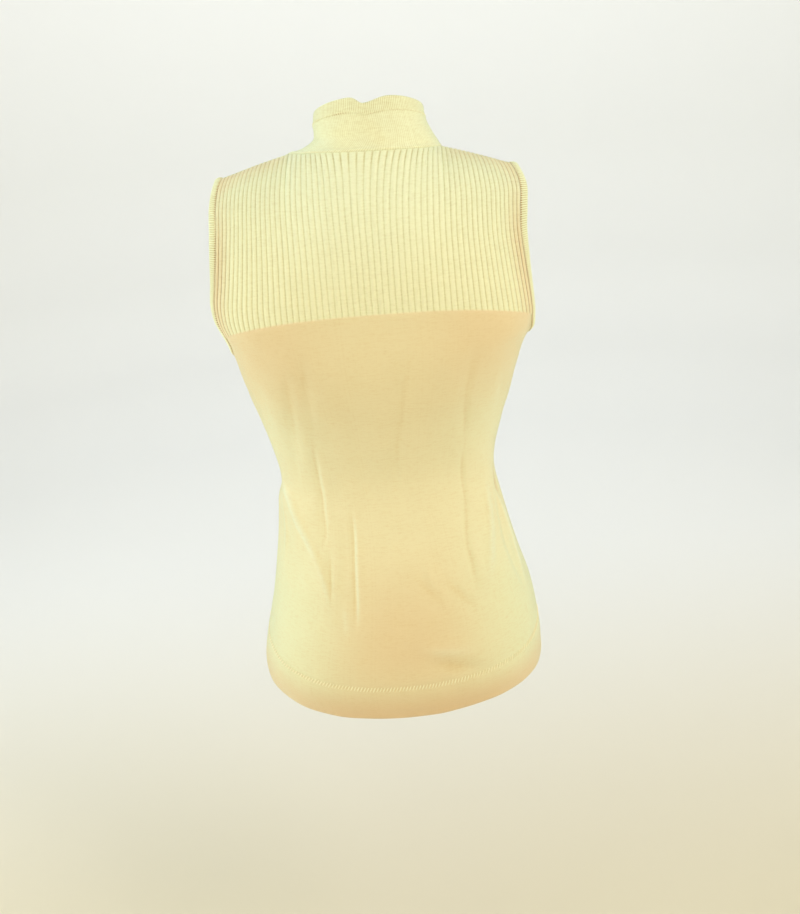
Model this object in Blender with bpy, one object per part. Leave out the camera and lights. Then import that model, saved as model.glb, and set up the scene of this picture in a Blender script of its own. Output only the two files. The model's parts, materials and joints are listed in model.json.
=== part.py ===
"""Sleeveless knitted top with a mock neck: a ribbed yoke over a plain body, hollow, in the form it has when worn.

Metres. X points to the wearer's left, -Y to the front and Z up. The origin is the middle of the neck, level
with the neck ends of the two shoulder seams.
"""

import math

import bmesh
import bpy
import numpy as np

# Cloth
PLAIN_WALL = 0.0014
HEM_WALL = 0.0026
RIB_HEIGHT = 0.0013
SEAM_GAP = 0.0003

# Yoke ribs, counted from the centre to one armhole
NECK_RIBS = 13
SHOULDER_RIBS = 16
HALF_RIBS = NECK_RIBS + SHOULDER_RIBS
RIB_FLANK = 0.24  # share of a rib's pitch from its valley to its crest

# Neckline and shoulders
NECK_HALF_WIDTH = 0.078
NECK_DEPTH = {"back": 0.055, "front": -0.072}
NECK_RISE = {"back": 0.008, "front": -0.045}
SHOULDER_TIP = 0.146
SHOULDER_DROP = 0.021

# Heights of the yoke line, the armhole's bottom and the hem
YOKE_SHARE = 0.83  # share of the half panel, from centre to side seam, that the yoke's foot takes
YOKE_CENTRE = {"back": -0.148, "front": -0.150}
YOKE_CORNER = -0.178
UNDERARM = -0.205
HEM_CENTRE = {"back": -0.628, "front": -0.612}
HEM_SIDE = -0.598
HEM_DEPTH = 0.040
HEM_GROOVE = 0.0006

# Rows of points up a panel: 0 to 1 is the hem, 1 to 2 the plain body, 2 to 3 the yoke
HEM_LEVELS = [0.0, 0.5, 0.93, 1.0]
BODY_LEVELS = [1.0075] + [1 + k / 14 for k in range(1, 14)]
YOKE_LEVELS = [2.0, 2.03, 2.18, 2.35, 2.51, 2.65, 2.77, 2.87, 2.945, 3.0]
ARMHOLE_STEPS = 5  # columns under each armhole, beyond the yoke's foot


def table(names, rows):
    """The rows as one array for each named column."""
    return {name: np.array([row[i] for row in rows]) for i, name in enumerate(names)}


# Sections of the body from hem to chest. The side seam lies at y = side, where the section is widest.
TORSO = table(
    ("height", "half_width", "back", "side", "front", "squareness"),
    [
        (-0.660, 0.1640, 0.104, 0.008, -0.090, 2.30),
        (-0.620, 0.1645, 0.114, 0.008, -0.096, 2.30),
        (-0.580, 0.1625, 0.119, 0.007, -0.101, 2.30),
        (-0.530, 0.1545, 0.113, 0.004, -0.105, 2.25),
        (-0.470, 0.1410, 0.094, 0.000, -0.106, 2.20),
        (-0.410, 0.1285, 0.070, -0.004, -0.104, 2.20),
        (-0.355, 0.1222, 0.060, -0.006, -0.107, 2.20),
        (-0.300, 0.1332, 0.070, -0.004, -0.118, 2.20),
        (-0.250, 0.1492, 0.083, 0.000, -0.126, 2.30),
        (-0.200, 0.1630, 0.092, 0.002, -0.120, 2.40),
        (-0.150, 0.1660, 0.094, 0.002, -0.110, 2.40),
    ],
)

# The figure's stance moves each level across; heights as in TORSO, then the shoulders and the neck
STANCE = table(
    ("height", "across"),
    [
        (-0.660, -0.001),
        (-0.580, 0.001),
        (-0.500, -0.002),
        (-0.430, -0.001),
        (-0.350, 0.005),
        (-0.250, 0.004),
        (-0.100, 0.005),
        (-0.020, 0.003),
        (0.000, 0.000),
        (0.020, -0.0058),
        (0.060, -0.0068),
    ],
)
# How far each side's drape moves its outline across, at full width
SIDES = table(
    ("height", "left", "right"),
    [
        (-0.660, 0.0000, 0.0000),
        (-0.625, 0.0005, -0.0010),
        (-0.600, 0.0055, -0.0020),
        (-0.560, 0.0055, -0.0035),
        (-0.510, 0.0050, -0.0030),
        (-0.470, 0.0065, 0.0000),
        (-0.400, 0.0072, 0.0000),
        (-0.383, 0.0062, -0.0005),
        (-0.368, 0.0015, -0.0010),
        (-0.340, 0.0000, -0.0022),
        (-0.290, -0.0010, -0.0020),
        (-0.235, -0.0045, 0.0012),
        (-0.205, -0.0070, -0.0015),
        (-0.190, -0.0055, -0.0080),
        (-0.178, -0.0015, -0.0095),
        (-0.160, 0.0045, -0.0080),
        (-0.145, 0.0055, -0.0060),
        (-0.115, 0.0010, -0.0025),
        (-0.080, -0.0025, -0.0010),
        (-0.060, -0.0035, -0.0045),
        (-0.040, -0.0020, -0.0090),
        (-0.020, 0.0000, -0.0070),
        (0.000, 0.0000, -0.0010),
        (0.060, 0.0000, 0.0000),
    ],
)

# The upper of the two lines that bulge the yoke between the yoke line and the top seam
YOKE_GUIDE = {
    "back": table(
        ("across", "x", "y", "z"),
        [
            (0.00, 0.000, 0.086, -0.030),
            (0.25, 0.043, 0.083, -0.026),
            (0.45, 0.078, 0.062, 0.000),
            (0.65, 0.107, 0.055, 0.002),
            (0.85, 0.133, 0.061, -0.010),
            (1.00, 0.155, 0.070, -0.034),
        ],
    ),
    "front": table(
        ("across", "x", "y", "z"),
        [
            (0.00, 0.000, -0.092, -0.078),
            (0.25, 0.043, -0.086, -0.068),
            (0.45, 0.077, -0.058, -0.034),
            (0.65, 0.105, -0.052, -0.041),
            (0.85, 0.130, -0.058, -0.050),
            (1.00, 0.150, -0.068, -0.054),
        ],
    ),
}

# Soft folds of the plain body, each along a straight run: ends as places across (-1 to 1) and heights, then the
# half width and the height of a ridge, or the depth of a trough if negative
FOLD_NAMES = ("across_top", "top", "across_bottom", "bottom", "width", "height")
FOLDS = {
    "back": table(
        FOLD_NAMES,
        [
            (0.89, -0.358, 0.65, -0.420, 0.0090, 0.0035),
            (0.65, -0.420, 0.41, -0.484, 0.0085, 0.0028),
            (0.90, -0.400, 0.62, -0.475, 0.0130, -0.0022),
            (0.47, -0.200, 0.48, -0.315, 0.0090, -0.0010),
            (0.48, -0.315, 0.50, -0.425, 0.0080, -0.0020),
            (0.43, -0.315, 0.45, -0.430, 0.0090, 0.0012),
            (0.275, -0.390, 0.265, -0.510, 0.0080, 0.0020),
            (-0.15, -0.180, -0.05, -0.350, 0.0110, -0.0010),
            (-0.47, -0.200, -0.56, -0.360, 0.0090, -0.0015),
            (-0.56, -0.360, -0.45, -0.485, 0.0085, -0.0022),
            (-0.88, -0.365, -0.585, -0.465, 0.0090, 0.0030),
            (-0.97, -0.372, -0.88, -0.455, 0.0100, -0.0030),
            (-0.12, -0.556, -0.45, -0.566, 0.0100, -0.0024),
        ],
    ),
    "front": table(
        FOLD_NAMES,
        [
            (0.88, -0.352, 0.55, -0.430, 0.0095, 0.0030),
            (0.90, -0.395, 0.60, -0.470, 0.0120, -0.0020),
            (0.42, -0.290, 0.35, -0.430, 0.0100, -0.0016),
            (-0.10, -0.330, -0.16, -0.500, 0.0110, 0.0014),
            (-0.40, -0.285, -0.44, -0.440, 0.0095, -0.0018),
            (-0.86, -0.358, -0.50, -0.450, 0.0090, 0.0028),
            (-0.93, -0.395, -0.70, -0.470, 0.0110, -0.0022),
            (0.05, -0.545, 0.40, -0.560, 0.0110, -0.0018),
        ],
    ),
}
HALF_ROUND = 0.19  # typical length from centre to side seam, which turns places across into metres
FOLD_TAPER = 0.013

# Rings of the collar above its seam, each a bow of (1 - sine**2) ** power. The edge dips at the back of the neck.
COLLAR = table(
    ("half_width", "back", "front", "side_height", "back_height", "front_height", "power", "wall", "dip"),
    [
        (0.0690, 0.0535, -0.0700, 0.0050, 0.0140, -0.038, 0.60, 0.0017, 0.0),
        (0.0615, 0.0515, -0.0670, 0.0130, 0.0220, -0.029, 0.56, 0.0017, 0.0),
        (0.0587, 0.0490, -0.0645, 0.0210, 0.0320, -0.017, 0.52, 0.0017, 0.1),
        (0.0575, 0.0470, -0.0630, 0.0265, 0.0430, -0.004, 0.50, 0.0018, 0.5),
        (0.0570, 0.0465, -0.0630, 0.0285, 0.0460, -0.001, 0.50, 0.0027, 0.6),
        (0.0556, 0.0450, -0.0620, 0.0375, 0.0580, 0.012, 0.50, 0.0027, 1.0),
    ],
)
DIP_DEPTH, DIP_PLACE = 0.0070, 0.0045
DIP_WIDTH = {"left": 0.0075, "right": 0.0170}
COLLAR_STAND = 0.0009  # how far the collar's foot stands out over the plain cloth

# Section of an armhole band: out from the armhole's edge, and height over the plain cloth
BAND = table(
    ("out", "height"),
    [
        (0.00015, 0.0006),
        (0.0030, 0.0011),
        (0.0064, 0.0008),
        (0.0078, -0.0002),
        (0.0066, -0.0017),
        (0.0030, -0.0016),
        (0.00015, -0.0014),
    ],
)


def smooth(key, values, at):
    """A cubic through a table's points, each with the slope of its neighbours."""
    slopes = np.gradient(values, key)
    at = np.clip(at, key[0], key[-1])
    i = np.clip(np.searchsorted(key, at, side="right") - 1, 0, len(key) - 2)
    gap = key[i + 1] - key[i]
    t = (at - key[i]) / gap
    return (
        (2 * t**3 - 3 * t**2 + 1) * values[i]
        + (t**3 - 2 * t**2 + t) * gap * slopes[i]
        + (3 * t**2 - 2 * t**3) * values[i + 1]
        + (t**3 - t**2) * gap * slopes[i + 1]
    )


def unit(vectors):
    return vectors / np.linalg.norm(vectors, axis=-1, keepdims=True)


def closed_gradient(points):
    return np.roll(points, -1, axis=0) - np.roll(points, 1, axis=0)


def torso(name, height):
    return smooth(TORSO["height"], TORSO[name], height)


def section(face, turn, height):
    """Points of a body section: turn runs from 0 at the centre to 1 at the side seam, negative on the right."""
    power = 2 / torso("squareness", height)
    angle = np.abs(turn) * math.pi / 2
    x = np.sign(turn) * torso("half_width", height) * np.sin(angle) ** power
    side = torso("side", height)
    y = side + (torso(face, height) - side) * np.clip(np.cos(angle), 0, 1) ** power
    return np.stack([x, y, height + 0 * x], axis=-1)


def even_turn(face, share, height):
    """The turn that lies at a share of the way round a section from centre to side seam."""
    turn = np.linspace(0, 1, 121)
    around = section(face, turn, height)
    along = np.concatenate([[0], np.cumsum(np.linalg.norm(np.diff(around, axis=0), axis=-1))])
    return np.interp(share, along / along[-1], turn)


def top_height(face, share):
    """Height of the plain body's upper edge: the yoke line, then the armhole's round bottom."""
    line = YOKE_CENTRE[face] + (YOKE_CORNER - YOKE_CENTRE[face]) * (share / YOKE_SHARE) ** 2.6
    k = np.clip((share - YOKE_SHARE) / (1 - YOKE_SHARE), 0, 1)
    armhole = YOKE_CORNER + (UNDERARM - YOKE_CORNER) * np.sqrt(1 - (1 - k) ** 2)
    return np.where(share <= YOKE_SHARE, line, armhole)


def body(face, across, level):
    """Points of a body panel, across from -1 to 1 between the side seams, at one level from 0 to 2."""
    share = np.abs(across)
    hem = HEM_CENTRE[face] + (HEM_SIDE - HEM_CENTRE[face]) * share**2.4
    stitch, top = hem + HEM_DEPTH, top_height(face, share)
    if level < 1:
        height = hem + HEM_DEPTH * level
        middle = HEM_SIDE + HEM_DEPTH * level
    else:
        height = stitch + (top - stitch) * (level - 1)
        middle = HEM_SIDE + HEM_DEPTH + (YOKE_CORNER - HEM_SIDE - HEM_DEPTH) * (level - 1)
    turn = even_turn(face, share, middle)
    return section(face, np.sign(across) * turn, height)


def ease(t):
    t = np.clip(t, 0, 1)
    return t * t * (3 - 2 * t)


def folds(face, across, height):
    """Rise of the cloth over the plain body's form at places across it. Folds die away at the side seams."""
    rows = FOLDS[face]
    rise = 0 * height
    for ends in zip(*(rows[name] for name in FOLD_NAMES)):
        start, end = np.array([ends[0] * HALF_ROUND, ends[1]]), np.array([ends[2] * HALF_ROUND, ends[3]])
        width, top = ends[4:]
        length = np.linalg.norm(end - start)
        way = (end - start) / length
        x, z = across * HALF_ROUND - start[0], height - start[1]
        along, off = x * way[0] + z * way[1], x * way[1] - z * way[0]
        taper = ease((along + FOLD_TAPER) / (2 * FOLD_TAPER)) * ease((length - along + FOLD_TAPER) / (2 * FOLD_TAPER))
        rise = rise + top * taper * np.exp(-((off / width) ** 2))
    return rise * ease((1 - np.abs(across)) / 0.06)


def top_seam(face, across):
    """The yoke's upper edge: half the neckline in the middle and a shoulder seam at each end."""
    ribs = np.abs(across) * HALF_RIBS
    k = np.clip(ribs / NECK_RIBS, 0, 1)
    q = 0.70 * k + 0.30 * np.sin(k * math.pi / 2)
    out = np.clip((ribs - NECK_RIBS) / SHOULDER_RIBS, 0, 1)
    x = np.sign(across) * (NECK_HALF_WIDTH * q + (SHOULDER_TIP - NECK_HALF_WIDTH) * out)
    bow = np.clip(1 - q**2, 0, 1) ** 0.65
    z = NECK_RISE[face] * bow - SHOULDER_DROP * out
    return np.stack([x, NECK_DEPTH[face] * bow, z], axis=-1)


def guide(face, across):
    """The yoke's upper guide line, mirrored about the centre."""
    rows = YOKE_GUIDE[face]
    key = np.concatenate([-rows["across"][:0:-1], rows["across"]])
    found = []
    for axis, mirror in (("x", -1), ("y", 1), ("z", 1)):
        half = rows[axis]
        found.append(smooth(key, np.concatenate([mirror * half[:0:-1], half]), across))
    return np.stack(found, axis=-1)


def yoke(face, across, level):
    """Points of the yoke at one level from 2 to 3: cubic curves that carry on from the body to the top seam."""
    up, down = level - 2, 3 - level
    foot = body(face, across * YOKE_SHARE, 2.0)
    below = body(face, across * YOKE_SHARE, 1.97)
    head, high = top_seam(face, across), guide(face, across)
    low = foot + unit(foot - below) * 0.34 * np.linalg.norm(head - foot, axis=-1, keepdims=True)
    return down**3 * foot + 3 * down**2 * up * low + 3 * down * up**2 * high + up**3 * head


def sway(points):
    """Moves each level across by the stance, and its two sides by their drape."""
    height = points[..., 2]
    share = points[..., 0] / torso("half_width", height)
    side = np.where(share > 0, *(smooth(SIDES["height"], SIDES[name], height) for name in ("left", "right")))
    across = smooth(STANCE["height"], STANCE["across"], height) + side * np.minimum(share**2, 1.2)
    return points + np.stack([across, 0 * across, 0 * across], axis=-1)


# Columns of the yoke: a valley and two crest points for each rib
ACROSS = np.array([rib + part for rib in range(-HALF_RIBS, HALF_RIBS) for part in (0, RIB_FLANK, 1 - RIB_FLANK)])
ACROSS = np.append(ACROSS, HALF_RIBS) / HALF_RIBS
CREST = np.array([0, 1, 1] * 2 * HALF_RIBS + [0])
NECK = slice(3 * SHOULDER_RIBS, 3 * (SHOULDER_RIBS + 2 * NECK_RIBS) + 1)
# The collar meets every valley, and all the points where the neckline turns most
TURNS = [*range(NECK.start, NECK.start + 6), *range(NECK.stop - 6, NECK.stop)]
COLLAR_MARKS = sorted({*range(NECK.start, NECK.stop, 3), *TURNS})
# The plain body meets every other valley, and the inner side of the yoke has the collar's points besides
BODY_MARKS = list(range(0, 6 * HALF_RIBS + 1, 6))
INNER_MARKS = sorted({*BODY_MARKS, *COLLAR_MARKS})
RIM = YOKE_SHARE + (1 - YOKE_SHARE) * (1 - np.cos(np.linspace(0, math.pi / 2, ARMHOLE_STEPS + 1)[1:]))


class Solid:
    """The points and faces of one closed piece of cloth."""

    def __init__(self):
        self.points, self.faces = [], []

    def add(self, points):
        """Adds an array of points and gives their numbers in the same order."""
        start = len(self.points)
        self.points.extend(points.reshape(-1, 3))
        return np.arange(start, len(self.points)).reshape(points.shape[:-1])

    def join(self, row, other, marks=None):
        """Faces between two rows, where point i of the row faces point i, or marks[i], of the other."""
        marks = range(len(row)) if marks is None else marks
        for i, (start, end) in enumerate(zip(marks, marks[1:])):
            self.faces.append([row[i], row[i + 1], *(other[j] for j in range(end, start - 1, -1))])

    def skin(self, rows):
        for row, above in zip(rows, rows[1:]):
            self.join(row, above)

    def tube(self, loops):
        """Faces between closed loops, the last joined to the first."""
        loops = np.concatenate([loops, loops[:1]])
        self.skin(np.concatenate([loops, loops[:, :1]], axis=1))

    def build(self, name, colour):
        form = bmesh.new()
        corners = [form.verts.new(point) for point in sway(np.array(self.points))]
        for face in self.faces:
            form.faces.new([corners[int(i)] for i in face])
        bmesh.ops.triangulate(form, faces=form.faces)
        bmesh.ops.recalc_face_normals(form, faces=form.faces)
        mesh = bpy.data.meshes.new(name)
        form.to_mesh(mesh)
        form.free()
        material = bpy.data.materials.new(name)
        material.use_nodes = True
        shader = material.node_tree.nodes["Principled BSDF"]
        shader.inputs["Base Color"].default_value = (*colour, 1)
        shader.inputs["Roughness"].default_value = 0.85
        mesh.materials.append(material)
        bpy.context.scene.collection.objects.link(bpy.data.objects.new(name, mesh))


def normals_of(face, grid):
    """Outward normals of a panel's grid, whose rows run from right to left and whose columns run up."""
    normals = unit(np.cross(np.gradient(grid, axis=1), np.gradient(grid, axis=0)))
    return normals if face == "front" else -normals


def draw_in(edge, normals, inside):
    """Moves half a seam gap from an edge towards the points beside it, square to the edge and its normals."""
    side = unit(np.cross(np.gradient(edge, axis=0), normals))
    sign = np.sign(np.sum(side * (inside - edge), axis=-1, keepdims=True))
    return side * sign * SEAM_GAP / 2


def base(face):
    """Points and outward normals of one panel's plain and yoke grids, before the seams are shared out."""
    across = np.concatenate([-RIM[::-1], ACROSS[BODY_MARKS] * YOKE_SHARE, RIM])
    plain = np.stack([body(face, across, level) for level in HEM_LEVELS + BODY_LEVELS + [2.0]])
    upper = np.stack([yoke(face, ACROSS, level) for level in YOKE_LEVELS])
    plain_normals, upper_normals = normals_of(face, plain), normals_of(face, upper)
    for side in (0, -1):
        plain_normals[:, side, 1] = 0
    plain_normals[-1, ARMHOLE_STEPS:-ARMHOLE_STEPS] = upper_normals[0, BODY_MARKS]
    plain_normals = unit(plain_normals)
    plain[:-1] += plain_normals[:-1] * folds(face, across, plain[:-1, :, 2])[..., None]
    return {"plain": plain, "yoke": upper, "plain_normals": plain_normals, "yoke_normals": upper_normals}


def share_shoulders(back, front):
    """Gives both panels the same normals along the shoulder seams, which turn gently into the neckline."""
    for ends, corner, step in ((slice(0, NECK.start), NECK.start, 1), (slice(NECK.stop, None), NECK.stop - 1, -1)):
        both = unit(back["yoke_normals"][-1, ends] + front["yoke_normals"][-1, ends])
        for part in (back, front):
            part["yoke_normals"][-1, ends] = both
            top = part["yoke_normals"][-1]
            near, far = top[corner - step].copy(), top[corner + 9 * step].copy()
            for k in range(9):
                top[corner + k * step] = unit(near * (1 - k / 9) + far * k / 9)


def panel(name, base):
    """One panel: ribbed yoke, plain body and turned hem, knitted in one."""
    plain, upper = base["plain"].copy(), base["yoke"].copy()
    plain_n, upper_n = base["plain_normals"], base["yoke_normals"]
    rim = ARMHOLE_STEPS
    for side, beside in ((0, 1), (-1, -2)):
        plain[:, side] += draw_in(base["plain"][:, side], plain_n[:, side], base["plain"][:, beside])
        upper[:, side] += draw_in(base["yoke"][:, side], upper_n[:, side], base["yoke"][:, beside])
    for part in (slice(0, rim), slice(len(plain[0]) - rim, None)):
        plain[-1, part] += draw_in(base["plain"][-1, part], plain_n[-1, part], base["plain"][-2, part])
    for part in (slice(0, NECK.start + 1), NECK, slice(NECK.stop - 1, None)):
        upper[-1, part] += draw_in(base["yoke"][-1, part], upper_n[-1, part], base["yoke"][-2, part])

    solid = Solid()
    levels = np.array(HEM_LEVELS + BODY_LEVELS + [2.0])
    lift = np.where(levels == 1, -HEM_GROOVE, 0)[:, None, None]
    wall = np.interp(levels, [0.93, 1.0, 1.0075], [HEM_WALL, 0.0020, PLAIN_WALL])[:, None, None]
    rise = np.interp(YOKE_LEVELS, [2.0, 2.03, 2.9, 3.0], [0, 1, 1, 0.7])[:, None] * CREST * RIB_HEIGHT
    feet = slice(rim, -rim)
    skins = {}
    for side, marks, plain_points, upper_points in (
        ("outer", range(len(ACROSS)), plain + plain_n * lift, upper + upper_n * rise[..., None]),
        ("inner", INNER_MARKS, plain - plain_n * wall, (upper - upper_n * PLAIN_WALL)[:, INNER_MARKS]),
    ):
        yoke_numbers = solid.add(upper_points)
        rows = solid.add(plain_points[:-1])
        right, left = solid.add(plain_points[-1, :rim]), solid.add(plain_points[-1, -rim:])
        top = np.concatenate([right, yoke_numbers[0], left])
        places = [list(marks).index(mark) + rim for mark in BODY_MARKS]
        places = [*range(rim), *places, *range(len(top) - rim, len(top))]
        solid.skin(rows)
        solid.join(rows[-1], top, places)
        solid.skin(yoke_numbers)
        skins[side] = {"rows": rows, "yoke": yoke_numbers, "top": top}
    outer, inner = skins["outer"], skins["inner"]
    for end in (0, -1):
        side_seam = [np.append(skin["rows"][:, end], skin["top"][end]) for skin in (outer, inner)]
        solid.join(*side_seam)
        solid.join(outer["yoke"][:, end], inner["yoke"][:, end])
    for part in (slice(0, rim + 1), slice(-rim - 1, None)):
        solid.join(outer["top"][part], inner["top"][part])
    solid.join(inner["yoke"][-1], outer["yoke"][-1], INNER_MARKS)
    fold = plain[0] - plain_n[0] * HEM_WALL / 2 - [0, 0, 0.0009]
    fold = solid.add(fold)
    solid.join(outer["rows"][0], fold)
    solid.join(fold, inner["rows"][0])
    for end in (0, -1):
        solid.faces.append([outer["rows"][0, end], fold[end], inner["rows"][0, end]])
    solid.build(name, (0.82, 0.70, 0.38))


def collar(back, front):
    """A doubled band round the neckline, on the panels' own neckline points."""
    marks = np.array(COLLAR_MARKS)
    both = [(back, marks), (front, marks[-2:0:-1])]
    foot = np.concatenate([part["yoke"][-1, at] for part, at in both])
    foot_normals = np.concatenate([part["yoke_normals"][-1, at] for part, at in both])
    sine = foot[:, 0] / NECK_HALF_WIDTH
    behind = foot[:, 1] >= 0
    rings, walls, stands = [foot], [PLAIN_WALL], [COLLAR_STAND]
    rows = zip(*(COLLAR[key] for key in COLLAR))
    for half_width, back_y, front_y, side_z, back_z, front_z, power, wall, dip in rows:
        bow = np.clip(1 - sine**2, 0, 1) ** power
        y = bow * np.where(behind, back_y, front_y)
        z = side_z + (np.where(behind, back_z, front_z) - side_z) * bow
        beside = half_width * sine - DIP_PLACE
        dip_width = np.where(beside > 0, DIP_WIDTH["left"], DIP_WIDTH["right"])
        z -= DIP_DEPTH * dip * behind * np.exp(-((beside / dip_width) ** 2))
        rings.append(np.stack([half_width * sine, y, z], axis=-1))
        walls.append(wall)
        stands.append(0.0004 if wall > 0.002 else 0.0)
    rings = np.stack(rings)
    around = np.stack([closed_gradient(ring) for ring in rings])
    normals = unit(np.cross(around, np.gradient(rings, axis=0)))
    normals *= np.sign(np.sum(normals * (rings - [0, -0.008, 0]) * [1, 1, 0], axis=-1, keepdims=True))
    normals[0] = foot_normals
    side = unit(np.cross(around[0], foot_normals))
    rings[0] += side * np.sign(np.sum(side * (rings[1] - foot), axis=-1, keepdims=True)) * SEAM_GAP / 2
    outer = rings + normals * np.array(stands)[:, None, None]
    inner = rings - normals * np.array(walls)[:, None, None]
    edge = (outer[-1] + inner[-1]) / 2 + [0, 0, 0.0009]
    solid = Solid()
    solid.tube(solid.add(np.concatenate([outer, edge[None], inner[::-1]])))
    solid.build("collar", (0.84, 0.73, 0.42))


def armhole_band(name, end, back, front):
    """A narrow band round one armhole, on the panels' own edge points; end is the edge's place in their rows."""
    rim = ARMHOLE_STEPS
    beside = -2 if end else 1
    loops = {"points": [], "normals": [], "inside": []}
    for part, ahead in ((back, True), (front, False)):
        for key, plain, upper in (
            ("points", part["plain"][-1], part["yoke"][:, end]),
            ("normals", part["plain_normals"][-1], part["yoke_normals"][:, end]),
            ("inside", part["plain"][-2], part["yoke"][:, beside]),
        ):
            beyond = plain[-rim:][::-1] if end else plain[:rim]
            edge = np.concatenate([beyond, upper])
            loops[key].append(edge if ahead else edge[-2:0:-1])
    points, normals, inside = (np.concatenate(loops[key]) for key in loops)
    out = unit(np.cross(closed_gradient(points), normals))
    out *= np.sign(np.sum(out * (points - inside), axis=-1, keepdims=True))
    section = zip(BAND["out"], BAND["height"])
    solid = Solid()
    solid.tube(solid.add(np.stack([points + out * reach + normals * height for reach, height in section])))
    solid.build(name, (0.84, 0.73, 0.42))


def build():
    for item in list(bpy.data.objects):
        bpy.data.objects.remove(item)
    back, front = base("back"), base("front")
    share_shoulders(back, front)
    panel("back", back)
    panel("front", front)
    collar(back, front)
    armhole_band("armhole_band_left", -1, back, front)
    armhole_band("armhole_band_right", 0, back, front)


build()
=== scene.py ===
"""Sleeveless knitted top with a mock neck, a ribbed yoke and a plain body, seen from behind and above.

Metres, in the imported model's frame: X points to the wearer's left, -Y to the front and Z up. Each panel is
one thin closed shell of knit in its worn form. Wales run up the cloth, courses run across it.
"""

import json
import math

import bmesh
import bpy
import numpy as np
from mathutils import Matrix, Vector
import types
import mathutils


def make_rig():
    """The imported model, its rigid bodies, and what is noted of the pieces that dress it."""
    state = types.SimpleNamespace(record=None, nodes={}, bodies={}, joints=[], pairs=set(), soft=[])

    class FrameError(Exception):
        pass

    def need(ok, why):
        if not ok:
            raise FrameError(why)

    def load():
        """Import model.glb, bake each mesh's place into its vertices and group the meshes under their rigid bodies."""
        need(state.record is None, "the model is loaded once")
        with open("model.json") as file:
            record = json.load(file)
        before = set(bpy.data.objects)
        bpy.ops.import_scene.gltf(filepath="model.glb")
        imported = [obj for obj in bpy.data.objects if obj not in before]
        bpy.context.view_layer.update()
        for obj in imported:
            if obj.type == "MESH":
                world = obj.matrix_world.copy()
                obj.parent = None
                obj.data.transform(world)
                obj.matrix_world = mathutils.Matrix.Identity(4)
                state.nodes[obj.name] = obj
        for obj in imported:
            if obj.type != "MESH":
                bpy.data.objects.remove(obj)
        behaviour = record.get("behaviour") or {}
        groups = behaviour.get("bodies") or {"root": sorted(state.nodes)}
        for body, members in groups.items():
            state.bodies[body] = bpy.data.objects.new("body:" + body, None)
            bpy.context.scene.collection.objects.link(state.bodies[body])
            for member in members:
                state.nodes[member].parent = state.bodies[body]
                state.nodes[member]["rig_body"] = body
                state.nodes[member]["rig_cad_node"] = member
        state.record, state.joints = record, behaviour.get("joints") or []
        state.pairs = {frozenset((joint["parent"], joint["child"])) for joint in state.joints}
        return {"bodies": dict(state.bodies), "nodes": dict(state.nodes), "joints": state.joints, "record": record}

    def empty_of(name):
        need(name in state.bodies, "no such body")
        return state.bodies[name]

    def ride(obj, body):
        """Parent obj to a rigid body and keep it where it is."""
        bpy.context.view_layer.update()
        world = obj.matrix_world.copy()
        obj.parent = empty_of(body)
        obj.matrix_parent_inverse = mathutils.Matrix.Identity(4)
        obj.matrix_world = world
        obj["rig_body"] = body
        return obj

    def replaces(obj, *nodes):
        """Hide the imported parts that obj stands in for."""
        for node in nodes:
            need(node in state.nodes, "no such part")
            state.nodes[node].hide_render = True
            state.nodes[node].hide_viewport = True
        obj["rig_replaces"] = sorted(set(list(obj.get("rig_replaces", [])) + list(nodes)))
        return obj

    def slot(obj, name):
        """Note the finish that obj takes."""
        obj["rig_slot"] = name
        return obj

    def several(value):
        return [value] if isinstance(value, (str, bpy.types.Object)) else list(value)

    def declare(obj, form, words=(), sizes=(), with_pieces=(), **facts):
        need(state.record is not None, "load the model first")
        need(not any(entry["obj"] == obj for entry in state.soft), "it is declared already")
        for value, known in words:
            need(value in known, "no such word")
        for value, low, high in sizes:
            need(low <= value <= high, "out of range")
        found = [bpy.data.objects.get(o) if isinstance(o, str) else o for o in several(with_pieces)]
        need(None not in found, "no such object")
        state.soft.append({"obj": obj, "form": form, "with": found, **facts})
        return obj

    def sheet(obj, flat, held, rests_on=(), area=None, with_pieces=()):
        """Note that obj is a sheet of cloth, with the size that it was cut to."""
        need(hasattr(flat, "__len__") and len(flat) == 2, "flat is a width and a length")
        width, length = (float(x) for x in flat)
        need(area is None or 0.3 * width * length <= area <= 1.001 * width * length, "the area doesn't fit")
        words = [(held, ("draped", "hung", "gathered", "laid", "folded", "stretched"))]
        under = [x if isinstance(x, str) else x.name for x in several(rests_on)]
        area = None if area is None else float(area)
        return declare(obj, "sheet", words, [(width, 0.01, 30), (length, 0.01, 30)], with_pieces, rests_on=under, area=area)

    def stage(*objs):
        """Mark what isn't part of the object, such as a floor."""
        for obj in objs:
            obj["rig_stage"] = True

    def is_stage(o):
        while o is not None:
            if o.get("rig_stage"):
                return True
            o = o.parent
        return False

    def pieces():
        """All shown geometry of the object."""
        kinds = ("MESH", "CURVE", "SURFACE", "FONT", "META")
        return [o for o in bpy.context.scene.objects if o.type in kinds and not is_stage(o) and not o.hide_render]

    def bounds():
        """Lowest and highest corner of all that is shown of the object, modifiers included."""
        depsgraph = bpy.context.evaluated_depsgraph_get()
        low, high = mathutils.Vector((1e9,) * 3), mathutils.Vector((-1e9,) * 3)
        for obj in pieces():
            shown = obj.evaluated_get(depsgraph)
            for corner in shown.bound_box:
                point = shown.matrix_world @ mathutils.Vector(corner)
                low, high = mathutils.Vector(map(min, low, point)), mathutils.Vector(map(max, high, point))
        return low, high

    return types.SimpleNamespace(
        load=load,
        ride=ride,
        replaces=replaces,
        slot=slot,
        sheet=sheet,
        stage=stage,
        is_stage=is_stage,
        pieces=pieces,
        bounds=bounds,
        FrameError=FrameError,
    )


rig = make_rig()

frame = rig.load()
cad_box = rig.bounds()

# ---------------------------------------------------------------- the garment's measures

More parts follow.
